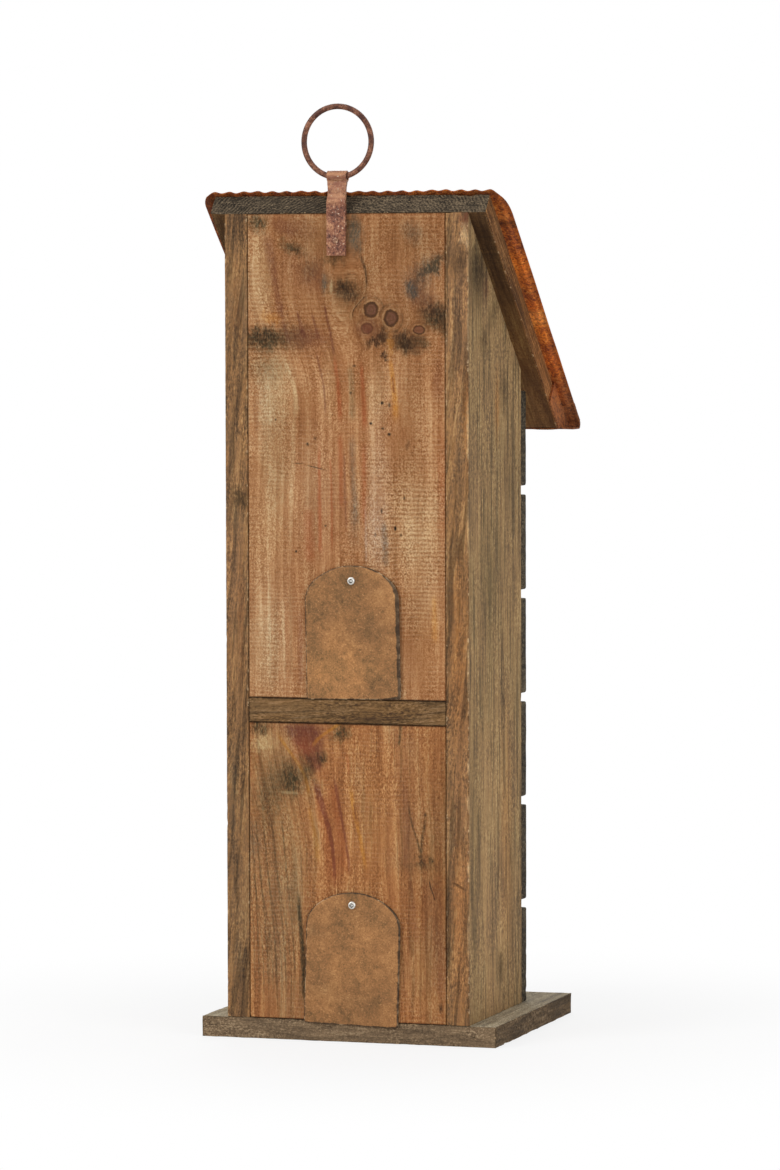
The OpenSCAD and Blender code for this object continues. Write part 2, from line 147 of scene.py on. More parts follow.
class Shade:
    """Node tree of one material or group, with short calls that add nodes and join them."""

    def __init__(self, tree: bpy.types.NodeTree) -> None:
        """Starts on the tree of a material, a world or a node group."""
        self.tree = tree

    def node(self, kind: str, feeds: Optional[Feeds] = None, **settings: object) -> bpy.types.Node:
        """Adds a node.

        Args:
            kind: Blender's name of the shader node type, without its first word.
            feeds: Input name or number, and what goes in.
            settings: Properties of the node.

        Returns:
            The new node.
        """
        node = self.tree.nodes.new("ShaderNode" + kind)
        for key, value in settings.items():
            setattr(node, key, value)
        for key, value in (feeds or {}).items():
            self.feed(node.inputs[key], value)
        return node

    def outs(self, kind: str, feeds: Optional[Feeds] = None, **settings: object) -> dict[str, Term]:
        """Adds a node and returns all its outputs by name."""
        return {socket.name: Term(self, socket) for socket in self.node(kind, feeds, **settings).outputs}

    def add(
        self, kind: str, feeds: Optional[Feeds] = None, out: Union[str, int] = 0, **settings: object,
    ) -> Term:
        """Adds a node and returns one output, the first where none is named."""
        return Term(self, self.node(kind, feeds, **settings).outputs[out])

    def feed(self, socket: Socket, value: Value) -> None:
        """Links a term into an input, or sets the input to a number, a vector, a hex colour or an ink.

        Args:
            socket: Input of a node.
            value: What goes in.
        """
        if isinstance(value, Term):
            self.tree.links.new(value.socket, socket)
        elif isinstance(value, str):
            socket.default_value = paint(value)
        else:
            socket.default_value = value.value if isinstance(value, Ink) else value

    def math(self, operation: str, a: Value, b: Value = 0.0, clamp: bool = False) -> Term:
        """Adds a Math node and returns its value."""
        return self.add("Math", {0: a, 1: b}, operation=operation, use_clamp=clamp)

    def vector(self, operation: str, a: Value, b: Value) -> Term:
        """Adds a Vector Math node and returns its vector."""
        return self.add("VectorMath", {0: a, 1: b}, operation=operation)

    def place(self) -> Term:
        """Returns the place on the piece, in its own metres."""
        return self.add("TexCoord", out="Object")

    def noise(
        self, place: Term, scale: float, detail: float = 2.0, rough: float = 0.5, bend: float = 0.0,
    ) -> Term:
        """Adds a noise texture and returns its value, which lies round a half."""
        feeds = {"Vector": place, "Scale": scale, "Detail": detail, "Roughness": rough, "Distortion": bend}
        return self.add("TexNoise", feeds, "Fac")

    def cells(
        self, place: Term, size: Sequence[float], detail: float = 2.0, rough: float = 0.5, bend: float = 0.0,
    ) -> Term:
        """Returns a noise whose spots have a given size along each axis, in metres."""
        return self.noise(self.vector("DIVIDE", place, size), 1.0, detail, rough, bend)

    def spread(self, value: Value, low: Value, high: Value, start: Value = 0.0, end: Value = 1.0) -> Term:
        """Maps low to high onto start to end with soft ends."""
        feeds = {"Value": value, "From Min": low, "From Max": high, "To Min": start, "To Max": end}
        return self.add("MapRange", feeds, "Result", interpolation_type="SMOOTHSTEP")

    def mix(self, share: Value, under: Value, over: Value, blend: str = "MIX") -> Term:
        """Lays one colour over another and returns the result."""
        feeds = {0: share, 6: under, 7: over}
        return self.add("Mix", feeds, 2, data_type="RGBA", blend_type=blend, clamp_factor=True)

    def tint(self, share: Value, colour: Term, tone: Colour) -> Term:
        """Multiplies a colour by a tone where a share says so."""
        return self.mix(share, colour, self.mix(1.0, colour, tone, "MULTIPLY"))

    def soak(
        self, share: Value, colour: Term, ink: Colour, ground: Colour, most: float, through: float,
    ) -> Term:
        """Lays a stain or a painted shade over a colour so that what is under it still shows.

        Args:
            share: How much of the stain lies there.
            colour: Colour under the stain.
            ink: Colour of the stain.
            ground: Usual colour of the ground, which the stain turns into the ink.
            most: Limit of how far the stain lightens.
            through: How much of the ground shows through.

        Returns:
            The stained colour.
        """
        ratio = tuple(min(most, ink[k] / ground[k]) for k in range(3)) + (1.0,)
        return self.mix(share, colour, self.mix(through, ink, self.mix(1.0, colour, ratio, "MULTIPLY")))

    def ramp(self, value: Term, stops: Sequence[tuple[float, str]]) -> Term:
        """Adds a ramp through hex colours and returns its colour.

        Args:
            value: Place on the ramp, 0 to 1.
            stops: Places and colours of its stops.

        Returns:
            The colour.
        """
        node = self.node("ValToRGB", {"Fac": value})
        elements = node.color_ramp.elements
        while len(elements) < len(stops):
            elements.new(0.5)
        for element, (place, code) in zip(elements, stops):
            element.position = place
            element.color = paint(code)
        return Term(self, node.outputs["Color"])

    def split(self, place: Term) -> tuple[Term, ...]:
        """Returns the three parts of a vector."""
        return tuple(self.outs("SeparateXYZ", {0: place}).values())

    def join(self, x: Value, y: Value, z: Value = 0.0) -> Term:
        """Makes a vector of its parts."""
        return self.add("CombineXYZ", {0: x, 1: y, 2: z})

    def use(self, group: bpy.types.NodeTree, **feeds: Value) -> dict[str, Term]:
        """Places a node group, with foot_across for its input Foot Across, and returns its outputs."""
        named = {key.replace("_", " ").title(): value for key, value in feeds.items()}
        return self.outs("Group", named, node_tree=group)


class GroupShop:
    """Node groups that the finishes share, each built once when it is first asked for."""

    def __init__(self) -> None:
        """Starts with no groups."""
        self.made: dict[str, bpy.types.NodeTree] = {}

    def group(self, name: str, fill: Fill, **inputs: Value) -> bpy.types.NodeTree:
        """Returns the group of that name, made on first use.

        Args:
            name: Name of the group.
            fill: Builds the inside: takes the shade, the place and the other inputs, and gives the outputs.
            inputs: Default of each input but the place, with foot_across for Foot Across.

        Returns:
            The node group.
        """
        if name in self.made:
            return self.made[name]
        tree = bpy.data.node_groups.new(name, "ShaderNodeTree")
        for key, default in {"place": ORIGIN, **inputs}.items():
            kind = "NodeSocketVector" if isinstance(default, tuple) else "NodeSocketFloat"
            label = key.replace("_", " ").title()
            tree.interface.new_socket(label, in_out="INPUT", socket_type=kind).default_value = default
        shade = Shade(tree)
        given = [Term(shade, socket) for socket in tree.nodes.new("NodeGroupInput").outputs if socket.name]
        results = fill(shade, *given)
        for label in results:
            tree.interface.new_socket(label, in_out="OUTPUT", socket_type="NodeSocketFloat")
        way_out = tree.nodes.new("NodeGroupOutput")
        for label, term in results.items():
            shade.feed(way_out.inputs[label], term)
        self.made[name] = tree
        return tree

    def grain(self) -> bpy.types.NodeTree:
        """Pine grain: X runs across the fibres, Z along them, and widths are in metres.

        Returns:
            The node group.
        """

        def fill(s: Shade, place: Term, width: Term, stretch: Term, sway: Term, nap: Term) -> dict[str, Term]:
            """Builds the grain.

            Args:
                s: Shade of the group.
                place: Place, with Z along the fibres.
                width: Width of a streak.
                stretch: How many times as long as wide a streak is.
                sway: How far the streaks wander.
                nap: Length of a tuft of the nap.

            Returns:
                Each part of the grain, by name.
            """
            slow = s.cells(place, (0.028, 0.028, 0.11))
            drift = (slow - 0.5) * sway
            x, y, z = s.split(place)
            x = x + drift
            run = width * stretch
            streaks = s.noise(s.join(x / width, y / width, z / run), 1.0, 4.0, 0.62, 0.25)
            bent = s.join(x, y, z)
            fibres = s.cells(bent, (0.0007, 0.0009, 0.009), 2.0, 0.6)
            flecks = s.cells(bent, (0.0010, 0.0010, 0.0016), 1.0)
            coarse = s.spread(s.cells(place, (0.010, 0.02, 0.035)), 0.36, 0.64, 0.6, 1.45)
            fine = s.noise(s.join(x / 0.0009, y / 0.0022, z / nap), 1.0, 2.0, 0.75)
            tooth = (fine - 0.5) * coarse
            bands = s.noise(s.join(x / 0.0034, y / 0.0034, z / 0.055), 1.0, 2.0, 0.55, 0.3)
            blotch = s.cells(place, (0.019, 0.03, 0.052), 3.0, 0.55)
            rings = s.math("SINE", x * 1250.0 + streaks * 16.0) * 0.5 + 0.5
            return {
                "Streaks": streaks, "Fibres": fibres, "Flecks": flecks, "Blotch": blotch,
                "Rings": rings, "Tooth": tooth, "Bands": bands,
            }

        return self.group("pine grain", fill, streak_width=0.006, stretch=22.0, sway=0.006, nap=0.0013)

    def saw(self) -> bpy.types.NodeTree:
        """Bandsaw marks: even lines across the fibres, broken up and fainter in places.

        Returns:
            The node group.
        """

        def fill(s: Shade, place: Term, pitch: Term) -> dict[str, Term]:
            """Builds the lines.

            Args:
                s: Shade of the group.
                place: Place on the board.
                pitch: Gap between two lines.

            Returns:
                The cut, from -1 in a line to 1 beside it.
            """
            z = s.split(place)[2]
            shake = s.cells(place, (0.035, 0.035, 0.016), 1.0)
            lines = s.math("SINE", z * FULL_TURN / pitch + shake * 9.0)
            comes = s.spread(s.cells(place, (0.020, 0.020, 0.030)), 0.38, 0.62, 0.3, 1.0)
            broken = s.spread(s.cells(place, (0.0019, 0.0019, 0.0014)), 0.30, 0.62)
            return {"Cut": lines * comes * broken}

        return self.group("saw marks", fill, pitch=0.00264)

    def arcs(self) -> bpy.types.NodeTree:
        """Growth rings of an end cut: arcs round a heart that lies at a given place in X and Y.

        Returns:
            The node group.
        """

        def fill(s: Shade, place: Term, heart: Term, pitch: Term) -> dict[str, Term]:
            """Builds the arcs.

            Args:
                s: Shade of the group.
                place: Place on the end cut.
                heart: Middle of the rings.
                pitch: Gap between two rings.

            Returns:
                The arcs, from -1 to 1.
            """
            x, y, _ = s.split(s.vector("SUBTRACT", place, heart))
            reach = s.math("SQRT", x * x + y * y)
            shake = s.cells(place, (0.009, 0.004, 0.009), 4.0, 0.68)
            turn = reach * FULL_TURN / pitch
            faint = s.spread(s.cells(place, (0.006, 0.006, 0.006)), 0.36, 0.62, 0.15, 1.0)
            return {"Arcs": s.math("SINE", turn + shake * 13.0) * faint}

        return self.group("growth rings", fill, heart=(0, -0.05, 0), pitch=0.002)

    def patch(self) -> bpy.types.NodeTree:
        """Soft ellipse in the plane of X and Y, for a stain or streak.

        Returns:
            The node group.
        """

        def fill(
            s: Shade, place: Term, across: Term, up: Term, half_wide: Term, half_high: Term,
            turn: Term, soft: Term,
        ) -> dict[str, Term]:
            """Builds the ellipse.

            Args:
                s: Shade of the group.
                place: Place in its plane.
                across: Its middle along X.
                up: Its middle along Y.
                half_wide: Half its width.
                half_high: Half its height.
                turn: Its turn, in radians.
                soft: Softness of its edge.

            Returns:
                Its mask and its reach.
            """
            x, y, _ = s.split(place)
            x, y = x - across, y - up
            c, n = s.math("COSINE", turn), s.math("SINE", turn)
            a = (x * c + y * n) / half_wide
            b = (y * c - x * n) / half_high
            reach = s.math("SQRT", a * a + b * b)
            return {"Mask": self.faded(s, reach, soft), "Reach": reach}

        return self.group(
            "soft patch", fill, across=0.0, up=0.0, half_wide=0.01, half_high=0.01, turn=0.0, soft=0.5,
        )

    def faded(self, s: Shade, reach: Term, soft: Term) -> Term:
        """Returns 1 inside a reach of 1 and 0 outside it, with an edge as soft as asked."""
        inner = 1.0 - soft
        return s.spread(reach, inner, 1.0 + soft * 0.6, 1.0, 0.0)

    def stripe(self) -> bpy.types.NodeTree:
        """Streak between a foot and a top, bent sideways on the way, that fades out at both ends.

        Returns:
            The node group.
        """

        def fill(
            s: Shade, place: Term, foot_across: Term, foot_up: Term, bend: Term,
            top_across: Term, top_up: Term, foot_wide: Term, top_wide: Term, soft: Term,
        ) -> dict[str, Term]:
            """Builds the streak.

            Args:
                s: Shade of the group.
                place: Place in its plane.
                foot_across: Its foot along X.
                foot_up: Its foot along Y.
                bend: Where its bend pulls to, along X.
                top_across: Its top along X.
                top_up: Its top along Y.
                foot_wide: Half its width at the foot.
                top_wide: Half its width at the top.
                soft: Softness of its edge.

            Returns:
                Its mask.
            """
            x, y, _ = s.split(place)
            share = s.spread(y, foot_up, top_up)
            rest = 1.0 - share
            line = rest * rest * foot_across
            line = line + share * rest * (bend * 2.0)
            line = line + share * share * top_across
            wide = rest * foot_wide + share * top_wide
            mask = self.faded(s, abs(x - line) / wide, soft)
            return {"Mask": mask * (s.spread(share, 0.0, 0.12) * s.spread(share, 1.0, 0.9))}

        return self.group(
            "curved stripe", fill, foot_across=0.0, foot_up=0.0, bend=0.0, top_across=0.0, top_up=0.1,
            foot_wide=0.002, top_wide=0.002, soft=0.5,
        )

    def arris(self) -> bpy.types.NodeTree:
        """Closeness to the arrises of a board whose corners are given: 1 on the arris, 0 away from it.

        Returns:
            The node group.
        """

        def fill(s: Shade, place: Term, low: Term, high: Term, reach: Term) -> dict[str, Term]:
            """Builds the closeness.

            Args:
                s: Shade of the group.
                place: Place on the board.
                low: Lowest corner of the board.
                high: Highest corner of the board.
                reach: How far the wear goes.

            Returns:
                An uneven wear and an even line.
            """
            gaps = []
            for value, start, end in zip(s.split(place), s.split(low), s.split(high)):
                gaps.append(s.math("MINIMUM", value - start, end - value))
            least = s.math("MINIMUM", s.math("MINIMUM", gaps[0], gaps[1]), gaps[2])
            most = s.math("MAXIMUM", s.math("MAXIMUM", gaps[0], gaps[1]), gaps[2])
            middle = gaps[0] + gaps[1] + gaps[2] - least - most
            ragged = s.cells(place, (0.004, 0.004, 0.004), 4.0, 0.7)
            uneven = reach * s.spread(ragged, 0.42, 0.68, 0.15, 1.7)
            return {
                "Wear": s.spread(middle, 0.0, uneven, 1.0, 0.0),
                "Line": s.spread(middle, 0.0, reach, 1.0, 0.0),
            }

        return self.group("worn arris", fill, low=ORIGIN, high=(1, 1, 1), reach=0.001)

    def corrosion(self) -> bpy.types.NodeTree:
        """Rust: broad bloom, flaking patches, grit and pits.

        Returns:
            The node group.
        """

        def fill(s: Shade, place: Term) -> dict[str, Term]:
            """Builds the rust.

            Args:
                s: Shade of the group.
                place: Place on the sheet.

            Returns:
                Each part of the rust, by name.
            """
            return {
                "Bloom": s.noise(place, 42.0, 5.0, 0.62, 0.6),
                "Flake": s.noise(place, 260.0, 4.0, 0.68, 0.3),
                "Cell": s.add("TexVoronoi", {"Vector": place, "Scale": 620.0}, "Distance"),
                "Grit": s.noise(place, 640.0, 3.0, 0.7, 0.3),
            }

        return self.group("corrosion", fill)

    def spot(
        self, s: Shade, place: Term, across: float, up: float, wide: float, high: float,
        soft: float = 0.5, turn: float = 0.0,
    ) -> dict[str, Term]:
        """Places a soft ellipse given by its middle and whole sizes in millimetres, and a turn in degrees.

        Args:
            s: Shade of the material.
            place: Place in the plane of the ellipse, in metres.
            across: Middle along X.
            up: Middle along Y.
            wide: Size along X.
            high: Size along Y.
            soft: Softness of its edge, 0 to 1.
            turn: Turn in degrees.

        Returns:
            Its Mask, and its Reach, which is 1 at the rim.
        """
        return s.use(
            self.patch(), place=place, across=across * MM, up=up * MM,
            half_wide=wide / 2 * MM, half_high=high / 2 * MM, turn=math.radians(turn), soft=soft,
        )


shop = GroupShop()


@dataclass(frozen=True)
class Mark:
    """One soft-edged stain, streak or patch of painted shade on the back or the side of the house.

    The place is in millimetres: across is X on a back face and Y on a side face, up is Z.
    """

    across: float
    up: float
    wide: float
    high: float
    ink: Ink
    strength: float
    turn: float = 0.0
    soft: float = 1.0

    def mask(self, s: Shade, ragged: Term, slight: Term) -> Term:
        """Returns 1 inside the mark: ragged at its edge, or only slightly so where the mark is fine.

        Args:
            s: Shade of the material.
            ragged: Place with a ragged push.
            slight: Place with a slight push.

        Returns:
            The mask.
        """
        place = ragged if min(self.wide, self.high) > FINE_MARK else slight
        return shop.spot(
            s, place, self.across, self.up, self.wide, self.high, self.soft, self.turn,
        )["Mask"]


@dataclass(frozen=True)
class Stripe:
    """Curved streak down a board, in millimetres: its foot, how it bends, its top and its widths."""

    foot: tuple[float, float]
    bend: float
    top: tuple[float, float]
    wide: tuple[float, float]
    ink: Ink
    strength: float
    soft: float = 0.8

    def mask(self, s: Shade, ragged: Term, slight: Term) -> Term:
        """Returns 1 inside the streak, which has a slightly ragged edge.

        Args:
            s: Shade of the material.
            ragged: Place with a ragged push.
            slight: Place with a slight push.

        Returns:
            The mask.
        """
        return s.use(
            shop.stripe(), place=slight, foot_across=self.foot[0] * MM, foot_up=self.foot[1] * MM,
            bend=self.bend * MM, top_across=self.top[0] * MM, top_up=self.top[1] * MM,
            foot_wide=self.wide[0] / 2 * MM, top_wide=self.wide[1] / 2 * MM, soft=self.soft,
        )["Mask"]


Marks = tuple[Union[Mark, Stripe], ...]


@dataclass(frozen=True)
class Coarse:
    """Part of a face where the saw's lines still stand, placed as a mark is."""

    across: float
    up: float
    wide: float
    high: float
    strength: float = 1.0


@dataclass(frozen=True)
class Knot:
    """One knot in a back face: its middle, its half sizes in millimetres, and how dark it is."""

    across: float
    up: float
    half_wide: float
    half_high: float
    ink: Ink = Ink.HEART
    strength: float = 0.9


@dataclass(frozen=True)
class Layer:
    """What a finish gives the shader: colour, roughness and height."""

    colour: Term
    rough: Term
    height: Term


@dataclass(frozen=True)
class WoodSkin:
    """Look of one set of faces of a board."""

    dark: str
    mid: str
    light: str
    pale: str
    grain: Grain = Grain.ALONG_Z
    streak: float = 6.0
    stretch: float = 22.0
    sway: float = 6.0
    saw: float = 0.0
    flecks: float = 0.5
    grey: float = 0.0
    grey_ink: Ink = Ink.GREY
    end_grain: float = 0.0
    arcs: float = 0.0
    relief: float = 0.5
    tilt: float = 0.0
    tooth: float = 1.0
    bands: float = 0.0
    lines: float = 0.0
    nap: float = 1.4

    def turned(self, s: Shade, place: Term) -> Term:
        """Turns a place so that Z runs along the fibres.

        Args:
            s: Shade of the material.
            place: Place on the board.

        Returns:
            The turned place.
        """
        x, y, z = s.split(place)
        if self.grain is Grain.ALONG_X:
            return s.join(z, y, x)
        if self.grain is Grain.ALONG_Y:
            return s.join(x, z, y)
        return place

    def lay(self, s: Shade, place: Term, coarse: Value = 1.0) -> Layer:
        """Builds this skin's colour, roughness and height.

        Args:
            s: Shade of the material.
            place: Place on the board, in metres.
            coarse: How strongly the saw's lines stand there.

        Returns:
            The finished layer.
        """
        own = self.turned(s, place)
        if self.tilt:
            own = s.add("Mapping", {"Vector": own, "Rotation": (0, math.radians(self.tilt), 0)})
        grain = s.use(
            shop.grain(), place=own, streak_width=self.streak * MM, stretch=self.stretch,
            sway=self.sway * MM, nap=self.nap * MM,
        )
        tone = (grain["Streaks"] - 0.5) * 1.35 + (grain["Fibres"] - 0.5) * 0.55
        tone = tone + (grain["Rings"] - 0.5) * 0.10 + (grain["Blotch"] - 0.5) * 0.9
        rough_cut = (coarse * 0.55 + 0.45) * (1.7 * self.tooth)
        tone = tone + grain["Tooth"] * rough_cut + 0.5
        colour = s.ramp(tone, ((0.08, self.dark), (0.4, self.mid), (0.64, self.light), (0.95, self.pale)))
        if self.grey:
            cover = s.spread(grain["Blotch"], 0.44, 0.66, 0.0, self.grey)
            colour = s.mix(cover, colour, self.grey_ink)
        if self.bands:
            band = s.spread(grain["Bands"], 0.50, 0.62, 0.0, self.bands)
            colour = s.tint(band, colour, (0.42, 0.45, 0.5, 1.0))
        if self.lines:
            late = s.spread(grain["Rings"], 0.72, 0.98) * s.spread(grain["Blotch"], 0.40, 0.55, 0.35, 1.0)
            colour = s.tint(late * self.lines, colour, (0.45, 0.42, 0.38, 1.0))
        dots = s.spread(grain["Flecks"], 0.66, 0.76)
        colour = s.tint(dots * self.flecks, colour, (0.30, 0.25, 0.2, 1.0))
        height = grain["Fibres"] * 0.4 + grain["Tooth"] * 1.1 + grain["Streaks"] * 0.3 - dots * 0.4
        if self.saw:
            cut = s.use(shop.saw(), place=place)["Cut"] * coarse
            bright = s.spread(cut, 0.0, 1.0, 0.0, 0.34 * self.saw)
            deep = s.spread(cut, 0.0, -1.0, 0.0, 0.55 * self.saw)
            colour = s.mix(bright, colour, Ink.CREAM)
            colour = s.tint(deep, colour, (0.45, 0.38, 0.34, 1.0))
            height = height + cut * (0.45 * self.saw)
        if self.end_grain:
            fuzz = s.noise(place, 900.0, 3.0, 0.7)
            tufts = s.cells(place, (0.0011, 0.0011, 0.0026), 3.0, 0.7, 0.8)
            colour = s.mix(s.spread(tufts, 0.52, 0.3, 0.0, self.end_grain), colour, self.dark)
            colour = s.mix(s.spread(fuzz, 0.56, 0.74, 0.0, self.end_grain), colour, self.pale)
            height = height + tufts * (2.2 * self.end_grain)
        if self.arcs:
            x, _, z = s.split(place)
            arcs = s.use(shop.arcs(), place=s.join(x, z))["Arcs"]
            colour = s.mix(s.spread(arcs, 0.1, 0.9, 0.0, self.arcs), colour, self.pale)
            colour = s.mix(s.spread(arcs, -0.1, -0.9, 0.0, self.arcs), colour, self.dark)
            height = height + arcs * (0.6 * self.arcs)
        rough = s.spread(grain["Fibres"], 0.3, 0.7, 0.93, 0.76)
        return Layer(colour, rough, height * self.relief)


@dataclass(frozen=True)
class Zone:
    """Part of a board that has a skin of its own: where an axis, times a sign, is past a limit."""

    skin: WoodSkin
    axis: int
    limit: float
    sign: int = 1

    def mask(self, s: Shade, place: Term) -> Term:
        """Returns 1 in the zone and 0 outside it.

        Args:
            s: Shade of the material.
            place: Place on the board.

        Returns:
            The mask.
        """
        value = s.split(place)[self.axis] * float(self.sign)
        edge = self.limit * MM * self.sign
        return s.spread(value, edge - 0.3 * MM, edge + 0.3 * MM)


@dataclass(frozen=True)
class Sweep:
    """Bend of the grain near the top of a panel: how far, between which heights and which sides."""

    amount: float
    low: float
    high: float
    off_x: float
    full_x: float

    def shift(self, s: Shade, x: Term, z: Term) -> Term:
        """Returns how far the grain is pushed along X there."""
        rise = s.spread(z, self.low * MM, self.high * MM, 0.0, self.amount * MM)
        return rise * s.spread(x, self.off_x * MM, self.full_x * MM)


@dataclass(frozen=True)
class WoodFinish:
    """Material of one board: a main skin, zones, knots, marks, worn arrises and painted shade along the
    arrises.
    """

    name: str
    skin: WoodSkin
    zones: tuple[Zone, ...] = ()
    marks: Marks = ()
    side_marks: Marks = ()
    knots: tuple[Knot, ...] = ()
    coarse: tuple[Coarse, ...] = ()
    sweep: Optional[Sweep] = None
    wear_ink: Ink = Ink.PALE
    wear: float = 0.5
    wear_reach: float = 0.9
    arris_shade: float = 0.5
    arris_shade_reach: float = 0.7
    slope: float = 0.0

    def place_of(self, s: Shade) -> Term:
        """Finds the place on the board, turned level where the board lies on the slope.

        Args:
            s: Shade of the material.

        Returns:
            The place, in metres.
        """
        place = s.place()
        if not self.slope:
            return place
        moved = s.vector("SUBTRACT", place, tuple(ROOF_TOP))
        return s.add("Mapping", {"Vector": moved, "Rotation": (-self.slope, 0, 0)})

    def bent(self, s: Shade, place: Term) -> tuple[Term, list[Term]]:
        """Bends the grain round the knots and down the sweep.

        Args:
            s: Shade of the material.
            place: Place on the board.

        Returns:
            The bent place, and each knot's reach: 1 at its rim, 0 in its middle.
        """
        x, y, z = s.split(place)
        flat = s.join(x, z)
        shift: Optional[Term] = self.sweep.shift(s, x, z) if self.sweep else None
        reaches = []
        for knot in self.knots:
            reach = shop.spot(s, flat, knot.across, knot.up, 2 * knot.half_wide, 2 * knot.half_high)["Reach"]
            reaches.append(reach)
            near = s.spread(reach, 0.4, 4.2, 0.72, 0.0)
            pull = (x - knot.across * MM) * near
            shift = pull if shift is None else shift + pull
        if shift is None:
            return place, reaches
        return s.join(x - shift, y, z), reaches

    def stained_or_shaded(self, s: Shade, colour: Term, flat: Term, marks: Marks, where: Term) -> Term:
        """Lays the marks over a colour.

        The marks' place hangs on the colour by a billionth, so that the renderer works the marks out one
        after another and a face can carry many.

        Args:
            s: Shade of the material.
            colour: Colour under the marks.
            flat: Place in the plane of the marks.
            marks: The marks, in order.
            where: Mask of the faces that carry them.

        Returns:
            The stained or shaded colour.
        """
        flat = s.vector("ADD", flat, s.vector("MULTIPLY", colour, (1e-9, 1e-9, 1e-9)))
        x, y, _ = s.split(flat)
        wobble = s.cells(flat, (0.0045, 0.007, 1.0), 4.0, 0.7)
        push = (wobble - 0.5) * 0.011
        ragged = s.join(x + push, y + push * 1.4)
        slight = s.join(x + push * 0.12, y)
        fibre = s.cells(flat, (0.0011, 0.0030, 1.0), 3.0, 0.7)
        drawn = s.spread(fibre, 0.3, 0.7, 0.55, 1.3) * where
        for mark in marks:
            share = s.math("MULTIPLY", mark.mask(s, ragged, slight) * mark.strength, drawn, clamp=True)
            colour = s.soak(share, colour, mark.ink.value, paint(self.skin.mid), 2.5, 0.62)
        return colour

    def knotted(self, s: Shade, colour: Term, reaches: Sequence[Term], place: Term, where: Term) -> Term:
        """Draws the knots: a dark ringed core, a black rim, a pale ring and faint rings round them.

        Args:
            s: Shade of the material.
            colour: Colour under the knots.
            reaches: Reach of each knot, 1 at its rim.
            place: Place on the board.
            where: Mask of the faces that carry them.

        Returns:
            The colour with the knots.
        """
        slow = s.noise(place, 260.0, 2.0, 0.6) - 0.5
        quick = s.noise(place, 1000.0, 2.0, 0.7) - 0.5
        for knot, reach in zip(self.knots, reaches):
            uneven = reach + slow * 0.65 + quick * 0.3
            ring = s.math("SINE", uneven * 13.0)
            core = s.mix(s.spread(ring, -0.3, 0.9, 0.0, 0.75), knot.ink, Ink.PLUM)
            core = s.mix(s.spread(quick, 0.04, 0.2, 0.0, 0.5), core, Ink.ROSE)
            rim = s.spread(uneven, 1.26, 1.08) * s.spread(uneven, 0.74, 0.94)
            pale = s.spread(uneven, 1.66, 1.42) * s.spread(uneven, 1.2, 1.32)
            outer = s.spread(uneven, 2.06, 1.92) * s.spread(uneven, 1.68, 1.8)
            round_it = s.spread(uneven, 3.2, 1.4) * s.spread(ring, 0.2, 0.95)
            parts = (
                (s.spread(uneven, 3.2, 1.2) * 0.3, Ink.BROWN),
                (round_it * 0.45, Ink.OXBLOOD),
                (pale * s.spread(slow, -0.08, 0.08, 0.15, 0.8), Ink.PALE),
                (outer * s.spread(slow, 0.08, -0.08, 0.0, 0.6), Ink.SMUDGE_AND_SHADOW),
                (s.spread(uneven, 1.16, 0.96), core),
                (rim, Ink.CRACK_AND_SHADE),
            )
            for share, ink in parts:
                colour = s.mix(share * knot.strength * where, colour, ink)
        return colour

    def material(self, low: Vector, high: Vector) -> bpy.types.Material:
        """Builds the material.

        Args:
            low: Lowest corner of the board, in the space of place_of.
            high: Highest corner of the board.

        Returns:
            The material.
        """
        mat, s, shader = new_material(self.name)
        place = self.place_of(s)
        bent, reaches = self.bent(s, place)
        x, y, z = s.split(place)
        coarse: Value = 1.0
        for part in self.coarse:
            spot = shop.spot(s, s.join(x, z), part.across, part.up, part.wide, part.high, 0.8)
            coarse = coarse + spot["Mask"] * part.strength
        layer = self.skin.lay(s, bent, coarse)
        colour, rough, height = layer.colour, layer.rough, layer.height
        on_back = s.spread(y, high.y - 1.4 * MM, high.y - 0.9 * MM)
        colour = self.knotted(s, colour, reaches, place, on_back) if self.knots else colour
        for zone in self.zones:
            mask = zone.mask(s, place)
            part = zone.skin.lay(s, bent)
            colour = s.mix(mask, colour, part.colour)
            height = height + mask * (part.height - height)
        if self.marks:
            colour = self.stained_or_shaded(s, colour, s.join(x, z), self.marks, on_back)
        if self.side_marks:
            off_back = 1.0 - on_back
            colour = self.stained_or_shaded(s, colour, s.join(y, z), self.side_marks, off_back)
        box = {"place": place, "low": tuple(low), "high": tuple(high)}
        worn = s.use(shop.arris(), **box, reach=self.wear_reach * MM)
        # Painted shade: a dark line along every arris, standing for the shadow lines in the seams between
        # boards and under the roof.
        line = s.use(shop.arris(), **box, reach=self.arris_shade_reach * MM)["Line"]
        colour = s.tint(line * self.arris_shade, colour, (0.10, 0.08, 0.06, 1.0))
        chips = s.spread(s.noise(place, 210.0, 4.0, 0.65), 0.52, 0.62, 0.0, self.wear)
        colour = s.mix(chips * worn["Wear"], colour, self.wear_ink)
        finish_material(s, shader, colour, rough, height, 0.55 * MM)
        return mat


def new_material(name: str) -> tuple[bpy.types.Material, Shade, bpy.types.Node]:
    """Makes an empty material.

    Args:
        name: Name of the material.

    Returns:
        The material, its shade, and its Principled shader.
    """
    mat = bpy.data.materials.new(name)
    mat.use_nodes = True
    shade = Shade(mat.node_tree)
    shader = next(n for n in mat.node_tree.nodes if n.type == "BSDF_PRINCIPLED")
    return mat, shade, shader


def finish_material(
    s: Shade, shader: bpy.types.Node, colour: Value, rough: Value, height: Term, depth: float,
    shine: float = 0.14,
) -> None:
    """Feeds colour, roughness and a bump into a shader.

    Args:
        s: Shade of the material.
        shader: Its Principled shader.
        colour: Base colour.
        rough: Roughness.
        height: Height of the bump.
        depth: Depth of the bump in metres.
        shine: How much light the surface throws back without colouring it.
    """
    shader.inputs["Specular IOR Level"].default_value = shine
    bump = s.add("Bump", {"Height": height, "Strength": 0.9, "Distance": depth})
    s.feed(shader.inputs["Base Color"], colour)
    s.feed(shader.inputs["Roughness"], rough)
    s.feed(shader.inputs["Normal"], bump)


